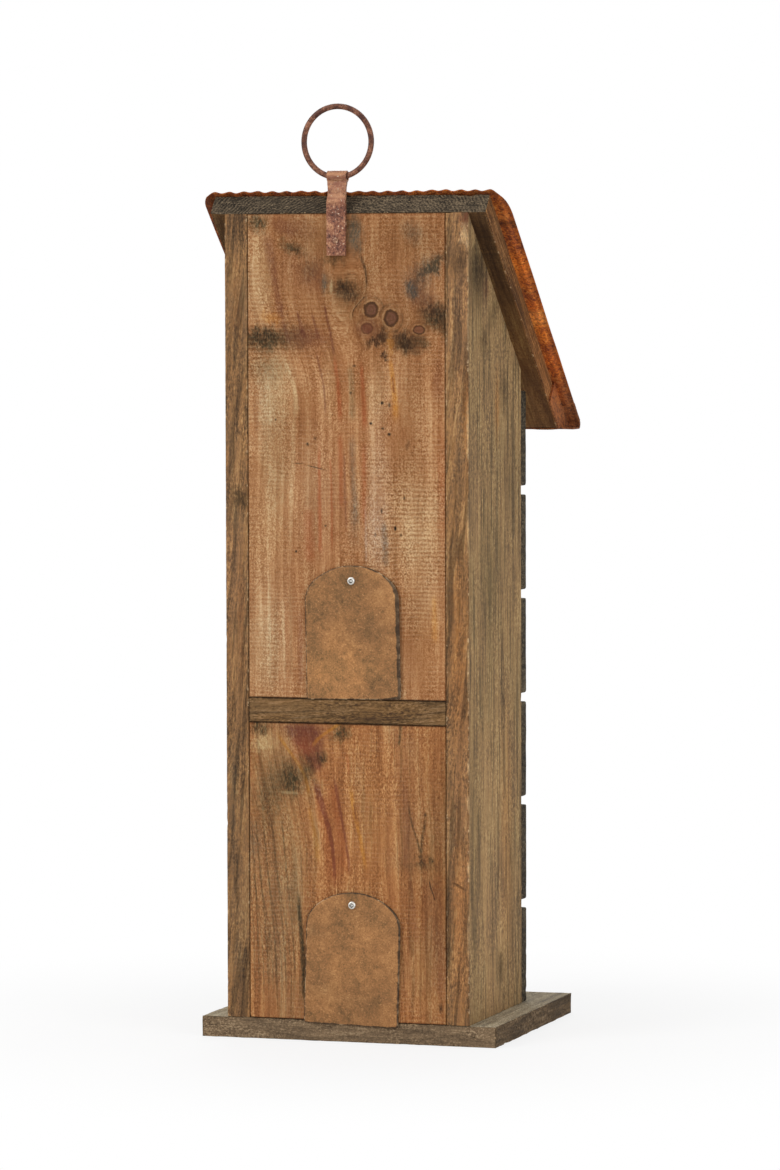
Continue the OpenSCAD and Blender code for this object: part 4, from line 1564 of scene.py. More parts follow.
@dataclass
class Carcass:
    """Base, sides, middle floor and the inset back and front panels."""

    upper_marks: Marks = (
        Mark(-8.1, 458, 139.9, 84.3, Ink.BROWN, 0.4, 0, 0.6),
        Mark(53.7, 455.8, 16.3, 61.4, Ink.PALE, 0.5, 2, 0.5),
        Stripe((40.6, 423.1), 44.1, (49.1, 489.7), (3, 8), Ink.OXBLOOD, 0.55),
        Mark(29.9, 484.3, 40.8, 22.9, Ink.BROWN, 0.45, 20, 0.7),
        Mark(39.1, 486.7, 21.3, 10.8, Ink.OXBLOOD, 0.55, 40, 0.8),
        Mark(27.4, 486, 20.7, 14.5, Ink.OXBLOOD, 0.4, 30, 0.9),
        Mark(28.1, 462.3, 30.7, 26.5, Ink.OXBLOOD, 0.35, 20),
        Mark(55.1, 489.5, 14.4, 12.7, Ink.SMUDGE_AND_SHADOW, 0.95, 0, 0.8),
        Mark(33.1, 473.9, 16.9, 6.6, Ink.SMUDGE_AND_SHADOW, 1.0, 18, 0.9),
        Mark(21.6, 461.1, 13.8, 14.5, Ink.SMUDGE_AND_SHADOW, 0.45, 30),
        Mark(19.1, 456.9, 16.3, 18.1, Ink.OXBLOOD, 0.45, 20),
        Mark(13.1, 452.7, 5.6, 12, Ink.GREY, 0.8, 0, 0.9),
        Mark(-5.4, 482.3, 11.3, 26.5, Ink.GREY, 0.85, -6, 0.8),
        Mark(-3.9, 488.8, 10.7, 15.7, Ink.SMUDGE_AND_SHADOW, 0.4, 0, 0.9),
        Stripe((-13.4, 447.9), -13.5, (-9.1, 472.8), (1.2, 2.5), Ink.CRACK_AND_SHADE, 0.6),
        Mark(-12.2, 452.7, 8.8, 26.5, Ink.BROWN, 0.45, 10),
        # Painted shadow under the lower end of the strap.
        Mark(7.4, 466.9, 14.4, 7.2, Ink.SMUDGE_AND_SHADOW, 0.75),
        Mark(-0.3, 449.1, 22.6, 16.9, Ink.SMUDGE_AND_SHADOW, 0.75, 24, 0.9),
        Mark(0.3, 449.1, 16.3, 10.8, Ink.CRACK_AND_SHADE, 0.75, 24, 0.9),
        Mark(-1.5, 437.9, 22.6, 15.7, Ink.BROWN, 0.6, 30),
        Mark(8.9, 451, 2.2, 8.4, Ink.PALE, 0.9, 5, 0.7),
        Mark(-53.5, 462.5, 25.7, 6, Ink.SMUDGE_AND_SHADOW, 1.0, -36, 0.7),
        Mark(-41.1, 449, 8.2, 12, Ink.GREY, 1.0, -25, 0.8),
        Mark(-51.3, 462, 22.6, 14.5, Ink.GREY, 0.6, -34),
        Mark(-41.8, 482.6, 11.9, 15.7, Ink.GREY, 0.5, -38, 0.9),
        Mark(-55.6, 434.3, 21.3, 18.1, Ink.SMUDGE_AND_SHADOW, 1.0, 27, 0.8),
        Mark(-56.8, 433.7, 16.3, 12, Ink.CRACK_AND_SHADE, 0.6, 27, 0.9),
        Mark(-49.4, 441.9, 18.8, 14.5, Ink.OXBLOOD, 0.5, 20),
        Mark(-61.1, 425.4, 7.5, 9.6, Ink.SMUDGE_AND_SHADOW, 0.7, 0, 0.9),
        Mark(-18.9, 418.9, 15.1, 6, Ink.CRACK_AND_SHADE, 0.95, -22, 0.8),
        Mark(-22.1, 422.8, 8.8, 11.4, Ink.CRACK_AND_SHADE, 0.85, 20, 0.8),
        Mark(-35.7, 419.5, 13.8, 12, Ink.CRACK_AND_SHADE, 0.95, 10, 0.8),
        Mark(-37, 416.6, 23.8, 10.8, Ink.SMUDGE_AND_SHADOW, 0.7, 10),
        Mark(-46.9, 418.9, 11.3, 6, Ink.SMUDGE_AND_SHADOW, 0.8, 20, 0.9),
        Mark(-28.3, 425.4, 51.4, 36.1, Ink.BROWN, 0.55),
        Mark(-13.4, 426.6, 13.8, 12, Ink.OXBLOOD, 0.75, 0, 0.9),
        Mark(-43.9, 452.6, 20.1, 19.3, Ink.OXBLOOD, 0.35),
        Mark(-27.6, 416.9, 3.8, 13.9, Ink.ORANGE, 0.75, 0, 0.9),
        Mark(52, 420.1, 30, 14.5, Ink.SMUDGE_AND_SHADOW, 0.85, 0, 0.5),
        Mark(45.6, 420.1, 33.9, 15.5, Ink.SMUDGE_AND_SHADOW, 0.4, 0, 0.8),
        Mark(52.5, 422.2, 20.1, 10.2, Ink.CRACK_AND_SHADE, 0.4, 0, 0.8),
        Mark(31.7, 421.3, 23.8, 18.1, Ink.SMUDGE_AND_SHADOW, 0.5, 8),
        Mark(24.2, 420.7, 28.9, 14.5, Ink.OXBLOOD, 0.6, 8, 0.9),
        Mark(48.8, 403, 27.6, 22, Ink.OLIVE, 0.45, 0, 0.9),
        Mark(43.2, 387.9, 23.8, 32.5, Ink.PALE, 0.45),
        Mark(46.2, 432.6, 12.5, 7.2, Ink.ORANGE, 0.5, 0, 0.7),
        Stripe((30.7, 369.5), 30.8, (38.7, 413.6), (3.2, 2.2), Ink.PALE, 0.7, 0.9),
        Stripe((13.1, 369.6), 12.5, (18.6, 417.1), (1.6, 1.6), Ink.OXBLOOD, 0.65),
        Stripe((26.1, 417.1), 28.0, (30.4, 439.7), (3.4, 1.6), Ink.OXBLOOD, 0.7),
        Stripe((16.7, 417.1), 18.9, (21, 437.3), (2.6, 1.4), Ink.OXBLOOD, 0.6),
        Stripe((7.3, 405.3), 9.6, (13.5, 445.6), (1.8, 1.6), Ink.OXBLOOD, 0.75),
        Stripe((34.9, 413.6), 40.5, (39.8, 445.7), (3.2, 2), Ink.OXBLOOD, 0.5),
        Stripe((3.7, 366.1), 3.8, (7.3, 414.8), (3.4, 2.4), Ink.RED, 0.75),
        Stripe((-11.6, 360.2), -11.3, (-9.6, 411.2), (3.6, 2.4), Ink.RED, 0.7),
        Stripe((-3.8, 366.1), -4.5, (-2.7, 410), (4.6, 4), Ink.OLIVE, 0.45),
        Stripe((-31.2, 366.3), -30.6, (-27.6, 413.6), (4.6, 2.6), Ink.ORANGE, 0.85),
        Stripe((-30.1, 386.4), -29.4, (-29.2, 399.4), (1.6, 1.2), Ink.OXBLOOD, 0.8),
        Mark(-19.5, 388.7, 13.8, 38.6, Ink.PALE, 0.5, 2),
        Mark(-40.6, 388.2, 16.3, 44.6, Ink.BROWN, 0.45),
        Mark(-57.4, 395.9, 7.5, 24.1, Ink.OXBLOOD, 0.4),
        Mark(11.1, 392.8, 10, 42.2, Ink.PALE, 0.35, 4),
        Mark(52, 385, 15, 50, Ink.GREY, 0.15, 3),
        Mark(50, 372, 9, 60, Ink.PALE, 0.4, 4, 0.7),
        Mark(33.5, 345, 3.2, 110, Ink.PALE, 0.5, 2, 0.7),
        Mark(43, 352, 18, 90, Ink.OLIVE, 0.25, 3, 0.7),
        Mark(22, 312, 13, 90, Ink.BROWN, 0.4, 2),
        Mark(26, 372, 14, 50, Ink.BROWN, 0.35, 4),
        Mark(-38, 352, 20, 50, Ink.BROWN, 0.45),
        Mark(-20, 336, 15, 84, Ink.ROSE, 0.35),
        Mark(-5, 312, 7, 36, Ink.GREY, 0.35),
        Mark(-18, 305, 14, 44, Ink.ROSE, 0.5),
        Mark(-44, 306, 32, 66, Ink.PALE, 0.55),
        Mark(-60, 330, 6, 70, Ink.RED, 0.35, 0, 0.9),
        Mark(50, 300, 30, 160, Ink.PALE, 0.3),
        Mark(52, 232, 22, 60, Ink.PALE, 0.4, 0, 0.7),
        Stripe((22.8, 281.3), 23.6, (23.9, 324.3), (7.5, 6), Ink.RED, 0.55, 0.9),
        Stripe((16.2, 281.4), 16.7, (16.9, 366), (2.6, 1.8), Ink.RED, 0.9, 0.9),
        Stripe((9, 285.1), 8.6, (10, 360.1), (1.6, 1.4), Ink.RED, 0.65, 0.9),
        Stripe((0.1, 297.7), 0.8, (1.2, 360.2), (1.6, 1.6), Ink.OXBLOOD, 0.6, 0.9),
        Stripe((-11.1, 300.8), -11.3, (-11.3, 365), (3, 3.4), Ink.RED, 0.55, 0.9),
        Stripe((3.2, 312.6), 3.0, (3.7, 369.7), (2.6, 3.2), Ink.RED, 0.65, 0.9),
        Stripe((-6.1, 300.8), -4.0, (-3.8, 369.7), (4, 4.6), Ink.GREY, 0.45, 1.0),
        Stripe((-24.8, 280.8), -24.0, (-23.6, 315.2), (5, 3.4), Ink.GREY, 0.5, 0.9),
        Stripe((-12.3, 283), -12.7, (-11.8, 324.6), (1.6, 1.4), Ink.ROSE, 0.7, 0.9),
        Stripe((28.7, 205.3), 28.5, (29.2, 264.5), (4.2, 3.4), Ink.OXBLOOD, 0.45, 1.0),
        Stripe((35, 206.4), 34.7, (35.4, 288.3), (2.4, 2), Ink.BROWN, 0.5, 1.0),
        Stripe((44.5, 205), 44.2, (44.9, 276.2), (3.2, 2.6), Ink.BROWN, 0.35, 1.0),
        Stripe((48.3, 204.9), 48.0, (48.6, 288.2), (1.8, 1.8), Ink.PALE, 0.45, 1.0),
        Stripe((38.8, 205.1), 39.6, (39.9, 270.3), (2, 2), Ink.PALE, 0.4, 1.0),
        Stripe((-55.2, 236.1), -54.9, (-54.6, 271.7), (4.6, 3), Ink.ORANGE, 0.6, 1.0),
        Mark(-49.6, 230.1, 25.1, 48.2, Ink.ORANGE, 0.22),
        Mark(-42.8, 241.9, 16.3, 72.3, Ink.BROWN, 0.3),
        Mark(-30.5, 308.2, 1.9, 2.4, Ink.CRACK_AND_SHADE, 0.9, 0, 0.7),
        Mark(-34.3, 303.8, 1.5, 1.8, Ink.CRACK_AND_SHADE, 0.9, 0, 0.7),
        Mark(31.5, 293.5, 1.5, 1.8, Ink.CRACK_AND_SHADE, 0.8, 0, 0.7),
        Mark(-18.3, 303.9, 1.9, 2.4, Ink.CRACK_AND_SHADE, 0.5, 0, 0.7),
        Mark(-22.6, 382.2, 2.0, 2.2, Ink.CRACK_AND_SHADE, 0.95, 0, 0.7),
        Mark(-15.6, 370, 2.0, 1.8, Ink.CRACK_AND_SHADE, 0.85, 0, 0.7),
        Mark(-27, 363.6, 2.2, 2.0, Ink.CRACK_AND_SHADE, 1.0, 0, 0.7),
        Mark(-23, 367, 2.6, 1.5, Ink.CRACK_AND_SHADE, 0.7, 20, 0.7),
        Mark(-30.7, 307.6, 1.6, 2.6, Ink.CRACK_AND_SHADE, 0.95, 0, 0.7),
        Mark(-22, 318, 1.4, 3.4, Ink.CRACK_AND_SHADE, 0.85, 0, 0.7),
        Mark(-36.3, 326, 1.6, 2.2, Ink.CRACK_AND_SHADE, 0.8, 0, 0.7),
        Mark(-38.5, 357.5, 3.2, 6, Ink.CRACK_AND_SHADE, 0.45, 20),
        Mark(24, 357.5, 2.2, 2.2, Ink.CRACK_AND_SHADE, 0.8, 0, 0.7),
        Mark(19, 361, 3.0, 2.4, Ink.CRACK_AND_SHADE, 0.5),
        Mark(44, 372, 1.6, 1.6, Ink.CRACK_AND_SHADE, 0.8, 0, 0.7),
        Mark(13, 309, 1.6, 1.6, Ink.CRACK_AND_SHADE, 0.8, 0, 0.7),
        Mark(-3, 388, 2.2, 1.8, Ink.CRACK_AND_SHADE, 0.6, 0, 0.7),
        Mark(-27, 381, 1.8, 3.2, Ink.CRACK_AND_SHADE, 0.7, 0, 0.7),
        Mark(19, 343.6, 12, 0.9, Ink.CRACK_AND_SHADE, 0.9, 13, 0.6),
        Mark(30, 346, 7, 0.8, Ink.CRACK_AND_SHADE, 0.6, 4, 0.6),
        Stripe((-4.6, 430.2), -3.7, (-12.8, 447.9), (0.9, 0.9), Ink.CRACK_AND_SHADE, 0.6, 0.6),
        Stripe((-3.4, 429), -2.2, (-11.5, 447.3), (0.9, 0.9), Ink.PALE, 0.45, 0.6),
        Stripe((-12.8, 447.9), -13.0, (-12.2, 465.7), (0.9, 0.9), Ink.CRACK_AND_SHADE, 0.5, 0.6),
        Mark(-23.9, 410.1, 5, 3.6, Ink.CRACK_AND_SHADE, 0.95, -10, 0.8),
        Mark(-5.3, 404.1, 2.2, 1.8, Ink.CRACK_AND_SHADE, 0.8, 0, 0.7),
        Mark(-22.6, 382.2, 1.9, 1.8, Ink.CRACK_AND_SHADE, 0.9, 0, 0.7),
        Mark(-43.9, 479.7, 38.9, 28.6, Ink.BROWN, 0.5),
        Mark(14.3, 480, 28.2, 28.6, Ink.BROWN, 0.25),
        Mark(-1.3, 468.7, 124.8, 51.3, Ink.BROWN, 0.16),
        Mark(-40.1, 416, 15.1, 11.9, Ink.CRACK_AND_SHADE, 0.5),
        Mark(-44.5, 450.8, 16.3, 20.3, Ink.GREY, 0.4, -20),
        Mark(-47.4, 227.1, 34.5, 41.7, Ink.ROSE, 0.16),
        Mark(43.4, 246.3, 34.5, 83.5, Ink.ROSE, 0.14),
        Mark(17.9, 327.3, 34.5, 77.5, Ink.ROSE, 0.2),
        Mark(-49.6, 259.8, 26.3, 35.8, Ink.PALE, 0.2),
    )
    upper_coarse: tuple[Coarse, ...] = (
        Coarse(-44, 306, 46, 90, 1.3),
        Coarse(-18, 316, 26, 70, 0.8),
        Coarse(30, 300, 90, 70, -0.2),
        Coarse(52, 400, 30, 190, 1.0),
        Coarse(10, 466, 34, 26, -0.8),
        Coarse(44, 350, 50, 120, -0.3),
    )
    upper_knots: tuple[Knot, ...] = (
        Knot(-15.9, 437.4, 3.9, 4.1),
        Knot(-28.1, 432.3, 3.8, 4.3),
        Knot(-13.2, 426.4, 3.2, 3.0, Ink.OXBLOOD, 0.5),
        Knot(-45.7, 425.4, 3.2, 2.3, Ink.OXBLOOD, 0.75),
    )
    lower_marks: Marks = (
        Mark(42.7, 102.3, 40.8, 180.7, Ink.OLIVE, 0.42),
        Mark(-58.9, 103, 35.8, 173.5, Ink.BROWN, 0.85),
        Mark(-36.3, 128.6, 11.3, 84.3, Ink.BROWN, 0.35),
        Stripe((-57.8, 17), -56.7, (-51.8, 111.1), (16, 12), Ink.OXBLOOD, 0.4, 1.0),
        Mark(55.4, 187.3, 13.8, 9.6, Ink.SMUDGE_AND_SHADOW, 0.85, 0, 0.9),
        Mark(53.2, 178.4, 16.9, 10.8, Ink.PALE, 0.65, -24, 0.8),
        Mark(55.5, 168.1, 11.3, 14.5, Ink.BROWN, 0.35, 10, 0.9),
        Stripe((18.8, 157), 22.2, (29.4, 195.1), (6.5, 27), Ink.OXBLOOD, 1.0, 0.5),
        Stripe((16, 150), 20.5, (27, 193), (4, 14), Ink.RED, 0.35, 1.0),
        Mark(23.8, 185, 21.3, 13.3, Ink.OXBLOOD, 0.6, 0, 0.9),
        Stripe((8, 86.5), 7.8, (20.7, 165.3), (2, 4.4), Ink.OXBLOOD, 1.0, 0.5),
        Stripe((8.3, 85.3), 9.5, (18.2, 157), (9, 9), Ink.RED, 0.45, 1.0),
        Stripe((-1.7, 91.6), 1.6, (8.1, 166.8), (1.6, 2.4), Ink.OXBLOOD, 0.9, 0.6),
        Stripe((0.8, 91.6), 3.7, (9.4, 163.2), (7, 7), Ink.RED, 0.5, 1.0),
        Stripe((-11.8, 96.8), -6.7, (-1.9, 159.9), (2.8, 2.6), Ink.ORANGE, 0.9, 0.8),
        Stripe((-6.2, 130.1), -4.9, (-4.4, 145.6), (1.4, 1.2), Ink.OXBLOOD, 0.9, 0.8),
        Stripe((-1.3, 159.9), -1.3, (0.5, 174.2), (2, 2), Ink.RED, 0.5, 0.9),
        Stripe((21.3, 174.9), 17.3, (4.2, 193.2), (3, 4), Ink.ORANGE, 0.95, 0.7),
        Stripe((23.9, 141.3), 25.7, (44, 188.8), (2.2, 3), Ink.ORANGE, 0.75, 0.7),
        Stripe((18.4, 103), 19.4, (23.9, 144.9), (4.2, 2.6), Ink.ORANGE, 0.5, 0.9),
        Mark(3.6, 185.5, 13.8, 10.8, Ink.SMUDGE_AND_SHADOW, 0.95, -40, 0.9),
        Mark(15.6, 170.2, 7.5, 9.6, Ink.SMUDGE_AND_SHADOW, 0.95, 0, 0.9),
        Mark(23.8, 168.9, 11.3, 9.6, Ink.SMUDGE_AND_SHADOW, 0.45),
        Mark(35.2, 157.2, 16.3, 20.5, Ink.SMUDGE_AND_SHADOW, 0.95, 10, 0.9),
        Mark(50.5, 142.9, 18.8, 36.1, Ink.SMUDGE_AND_SHADOW, 0.55),
        Mark(58.8, 119.8, 10, 24.1, Ink.GREY, 0.4),
        Mark(36.8, 149, 13.2, 1.8, Ink.PALE, 0.8, 4, 0.7),
        Stripe((26.9, 13.7), 27.7, (31, 96.6), (4.6, 2.4), Ink.SMUDGE_AND_SHADOW, 0.75, 0.9),
        Stripe((-32.4, 176.2), -33.3, (-33.3, 192.9), (1.6, 2.2), Ink.SMUDGE_AND_SHADOW, 0.8, 0.8),
        Stripe((-46.2, 109.8), -41.6, (-38.2, 146.5), (1.8, 1.2), Ink.SMUDGE_AND_SHADOW, 0.7, 0.8),
        Stripe((-46.2, 109.8), -46.7, (-49.4, 139.7), (2.2, 1.8), Ink.SMUDGE_AND_SHADOW, 0.7, 0.8),
        Mark(-45.6, 110.1, 6.3, 5.4, Ink.CRACK_AND_SHADE, 0.75, 0, 0.9),
        Mark(-52.4, 110.6, 3.8, 4.8, Ink.SMUDGE_AND_SHADOW, 0.85, 0, 0.9),
        Mark(-47.4, 107.4, 28.9, 7.2, Ink.SMUDGE_AND_SHADOW, 0.35),
        Stripe((-54.9, 85), -52.7, (-51.2, 100.4), (0.9, 0.9), Ink.CRACK_AND_SHADE, 0.75, 0.6),
        Stripe((-36.2, 98.7), -39.1, (-35.7, 164.3), (5, 4), Ink.OXBLOOD, 0.4, 1.0),
        Stripe((-44.2, 51.2), -42.1, (-38.7, 110.7), (3, 2), Ink.OXBLOOD, 0.35, 1.0),
        Mark(-58.2, 23, 3.1, 6, Ink.CRACK_AND_SHADE, 0.7, 0, 0.9),
        Mark(-48.9, 137.9, 2.1, 3.6, Ink.CRACK_AND_SHADE, 0.8, 20, 0.8),
        Mark(-49.2, 42.4, 17.6, 42.2, Ink.ORANGE, 0.25),
        Mark(-14.7, 132.7, 32, 94, Ink.ORANGE, 0.22),
        Stripe((26.9, 13.7), 27.7, (31, 96.6), (4, 2.4), Ink.SMUDGE_AND_SHADOW, 0.8, 0.9),
        Stripe((32.6, 13.4), 35.2, (41.6, 150.4), (1.4, 1.2), Ink.SMUDGE_AND_SHADOW, 0.5, 1.0),
        Stripe((35.1, 13.3), 35.5, (44.9, 114.2), (1.1, 1.0), Ink.SMUDGE_AND_SHADOW, 0.4, 1.0),
        Stripe((38.3, 13.2), 41.4, (47.9, 150.2), (1.4, 1.2), Ink.SMUDGE_AND_SHADOW, 0.5, 1.0),
        Stripe((40.8, 13.1), 41.5, (51.2, 114), (1.1, 1.0), Ink.SMUDGE_AND_SHADOW, 0.4, 1.0),
        Stripe((44, 13), 47.1, (53.6, 150.1), (1.4, 1.2), Ink.SMUDGE_AND_SHADOW, 0.5, 1.0),
        Stripe((46.9, 12.9), 47.1, (56.3, 113.9), (1.1, 1.0), Ink.SMUDGE_AND_SHADOW, 0.4, 1.0),
        Stripe((49.7, 12.8), 52.1, (58.1, 150), (1.4, 1.2), Ink.SMUDGE_AND_SHADOW, 0.5, 1.0),
        Stripe((52.9, 12.6), 52.7, (59.5, 113.8), (1.1, 1.0), Ink.SMUDGE_AND_SHADOW, 0.4, 1.0),
        Stripe((55.8, 12.5), 56.4, (60.6, 149.9), (1.4, 1.2), Ink.SMUDGE_AND_SHADOW, 0.5, 1.0),
        Stripe((58.9, 12.4), 58.0, (62, 113.7), (1.1, 1.0), Ink.SMUDGE_AND_SHADOW, 0.4, 1.0),
        Mark(41.5, 158.8, 23.8, 28.6, Ink.SMUDGE_AND_SHADOW, 0.45),
        Mark(24.2, 162.5, 8.2, 17.3, Ink.SMUDGE_AND_SHADOW, 0.75, 0, 0.9),
        Mark(28.8, 174.7, 13.8, 17.9, Ink.RED, 0.55, 0, 0.8),
        Mark(44.1, 75.1, 34.5, 113.3, Ink.ROSE, 0.15),
        Mark(-22.2, 137.1, 53.3, 89.4, Ink.ROSE, 0.12),
        Mark(-50.7, 40.1, 23.2, 46.5, Ink.ROSE, 0.15),
    )
    lower_coarse: tuple[Coarse, ...] = (
        Coarse(-14, 160, 40, 50, 0.5),
        Coarse(50, 90, 34, 120, 0.5),
    )
    stile_marks: Marks = (
        Mark(67, 325, 11, 13, Ink.SMUDGE_AND_SHADOW, 0.95, 0, 0.9),
        Mark(70, 318, 8, 30, Ink.OLIVE, 0.4),
        Mark(-70.5, 466, 13.8, 18.1, Ink.SMUDGE_AND_SHADOW, 0.75, 10),
        Mark(-74.8, 491.2, 10, 9.6, Ink.OXBLOOD, 0.75, 0, 0.9),
        Mark(-72.8, 482.2, 4.1, 11.4, Ink.CREAM, 0.9, 20, 0.8),
        Mark(-75.2, 478, 3.5, 9, Ink.CREAM, 0.95, 6, 0.8),
        Mark(-71, 410.7, 12.5, 30.1, Ink.SMUDGE_AND_SHADOW, 0.12),
        Mark(-71, 440, 18, 150, Ink.ROSE, 0.2),
        Mark(-74.6, 375.3, 5, 54.2, Ink.ORANGE, 0.4),
        Mark(-76, 461, 1.5, 15.1, Ink.CREAM, 0.45, 0, 0.7),
        Mark(-75.9, 430.7, 1.5, 37.3, Ink.CREAM, 0.6, 0, 0.7),
        Mark(-75.8, 365.3, 1.8, 33.7, Ink.CREAM, 1.0, 0, 0.7),
        Mark(-75.8, 307.5, 1.5, 36.1, Ink.CREAM, 0.55, 0, 0.7),
        Mark(-75.8, 224.7, 1.6, 36.1, Ink.CREAM, 0.7, 0, 0.7),
        Mark(-75.7, 166.5, 1.6, 9.6, Ink.CREAM, 0.9, 0, 0.7),
        Mark(-75.6, 145.1, 1.6, 9.6, Ink.CREAM, 0.9, 0, 0.7),
        Mark(-75.6, 106.5, 1.8, 8.4, Ink.CREAM, 1.0, 0, 0.7),
        Mark(-75.6, 67.8, 1.8, 31.3, Ink.CREAM, 0.6, 0, 0.7),
        Mark(-69.8, 95.9, 8.8, 1.8, Ink.CRACK_AND_SHADE, 0.8, 30, 0.5),
        Mark(-70.4, 83.1, 10, 130.1, Ink.ORANGE, 0.35),
        Mark(-70, 230.5, 11.3, 120.5, Ink.ORANGE, 0.3),
        Stripe((-63.4, 28), -63.6, (-63.6, 111.5), (3, 2), Ink.SMUDGE_AND_SHADOW, 0.6, 1.0),
        Mark(68, 440, 5, 50, Ink.BROWN, 0.4, 0, 0.7),
        Mark(66, 250, 5, 80, Ink.BROWN, 0.4, 0, 0.7),
        Mark(72, 150, 4, 80, Ink.GREY, 0.4, 0, 0.7),
        Mark(-70.5, 120, 17, 200, Ink.ROSE, 0.18),
        Mark(70, 450, 15, 120, Ink.GREY, 0.15),
        Mark(71, 95, 14, 200, Ink.GREY, 0.25),
        Mark(71, 290, 14, 140, Ink.ROSE, 0.2),
    )
    side_marks: Marks = (
        Mark(62.8, 460.2, 34.7, 34.5, Ink.SMUDGE_AND_SHADOW, 0.8, -8, 0.9),
        Mark(65.8, 463.1, 24.5, 23.8, Ink.CRACK_AND_SHADE, 0.4, -8),
        Mark(45.4, 449, 12.4, 16.7, Ink.OXBLOOD, 0.5, 0, 0.9),
        Mark(27.8, 436.4, 35.5, 15.5, Ink.SMUDGE_AND_SHADOW, 0.5, -34, 0.9),
        Mark(49.7, 418.1, 20.6, 16.7, Ink.SMUDGE_AND_SHADOW, 0.55, 8, 0.9),
        Mark(9.2, 387.6, 19, 26.2, Ink.SMUDGE_AND_SHADOW, 0.5, -6, 0.9),
        Mark(22.9, 379.5, 9, 42, Ink.ORANGE, 0.4),
        Mark(16, 39.8, 17, 20.8, Ink.SMUDGE_AND_SHADOW, 0.75, 0, 0.9),
        Mark(69.7, 113.6, 20.4, 184.5, Ink.OLIVE, 0.4),
        Mark(5.1, 122.3, 25.5, 154.8, Ink.ORANGE, 0.25),
        Mark(38, 269.7, 16.6, 131, Ink.OLIVE, 0.35),
        Mark(64.6, 300.8, 12.3, 119, Ink.PALE, 0.3),
        Mark(47, 126.3, 8.3, 154.8, Ink.PALE, 0.25),
        Mark(-5.4, 72.4, 12.8, 107.1, Ink.SMUDGE_AND_SHADOW, 0.3),
        Mark(34, 80, 84, 190, Ink.PALE, 0.3),
        Mark(63.8, 451.9, 36.7, 41.7, Ink.CRACK_AND_SHADE, 0.4, -6),
        Mark(28.7, 472.3, 25.0, 13.1, Ink.OLIVE, 0.5),
        Mark(-4.4, 337.2, 42.6, 53.7, Ink.SMUDGE_AND_SHADOW, 0.3),
        Mark(42.1, 275.9, 49.7, 71.6, Ink.OLIVE, 0.35),
    )

    def build(self) -> None:
        """Builds and dresses every board of the carcass."""
        zones = (
            Zone(BASE_EDGE, 1, 81.4), Zone(BASE_EDGE, 1, -81.4, -1),
            Zone(BASE_SIDE, 0, 91.9), Zone(BASE_SIDE, 0, -91.9, -1),
        )
        finish = WoodFinish("base pine", BASE_TOP, zones, wear_ink=Ink.CREAM, wear=0.7, wear_reach=1.4)
        board("base_board", "base_wood", finish, wear=0.55, chip=1.3, band=3.0, seed=2.0)
        roof_plane = (Vector((0, 0.082, 0.4947)), Vector((0, -math.sin(ROOF_PITCH), math.cos(ROOF_PITCH))))
        for side, node in ((-1, "left_side_panel"), (1, "right_side_panel")):
            finish = WoodFinish(
                node.replace("_", " "), SIDE, (Zone(STILE, 1, 81.2),), self.stile_marks, self.side_marks,
                wear_ink=Ink.CREAM, wear=0.9, wear_reach=1.0, arris_shade=0.45, arris_shade_reach=0.5,
            )
            board(node, "side_wood", finish, trims=(roof_plane,), wear=0.14, chip=0.6, seed=5.0 + side)
        self.panels()

    def panels(self) -> None:
        """Builds the middle floor and the back panels, and dresses the front panels."""
        finish = WoodFinish("floor pine", RAIL, wear=0.25, arris_shade=1.0, arris_shade_reach=1.1)
        board("middle_floor", "floor_wood", finish, wear=0.3, chip=0.5, seed=11.0)
        finish = WoodFinish(
            "upper back pine", PINE, (), self.upper_marks, (), self.upper_knots, self.upper_coarse,
            Sweep(16.0, 382.0, 458.0, -10.0, 10.0), wear=0.3, wear_reach=0.6, arris_shade=1.0, arris_shade_reach=1.1,
        )
        board("upper_back_panel", "back_wood", finish, from_box=False, wear=0.22, chip=0.5, seed=17.0)
        finish = WoodFinish(
            "lower back pine", STAINED, (), self.lower_marks, coarse=self.lower_coarse,
            sweep=Sweep(12.0, 110.0, 190.0, 8.0, 34.0), wear=0.3, wear_reach=0.6, arris_shade=1.0, arris_shade_reach=1.1,
        )
        board("lower_back_panel", "back_wood", finish, from_box=False, wear=0.22, chip=0.5, seed=23.0)
        for node in ("upper_front_panel", "lower_front_panel"):
            low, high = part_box(node)
            repaint(node, WoodFinish(node.replace("_", " "), FRONT).material(low, high))


@dataclass
class FrontSlats:
    """The six slats across the front."""

    count: int = 6

    def build(self) -> None:
        """Builds and dresses every slat."""
        zones = (Zone(SLAT_END, 0, 75.4), Zone(SLAT_END, 0, -75.4, -1))
        shape = {"from_box": False, "wear": 0.3, "chip": 0.9, "band": 2.6}
        for k in range(1, self.count + 1):
            finish = WoodFinish(f"slat {k} wood", SLAT, zones, wear_ink=Ink.PALE, wear=0.5, wear_reach=1.3)
            board(f"front_slat_{k}", "slat_wood", finish, seed=30.0 + 3.7 * k, **shape)


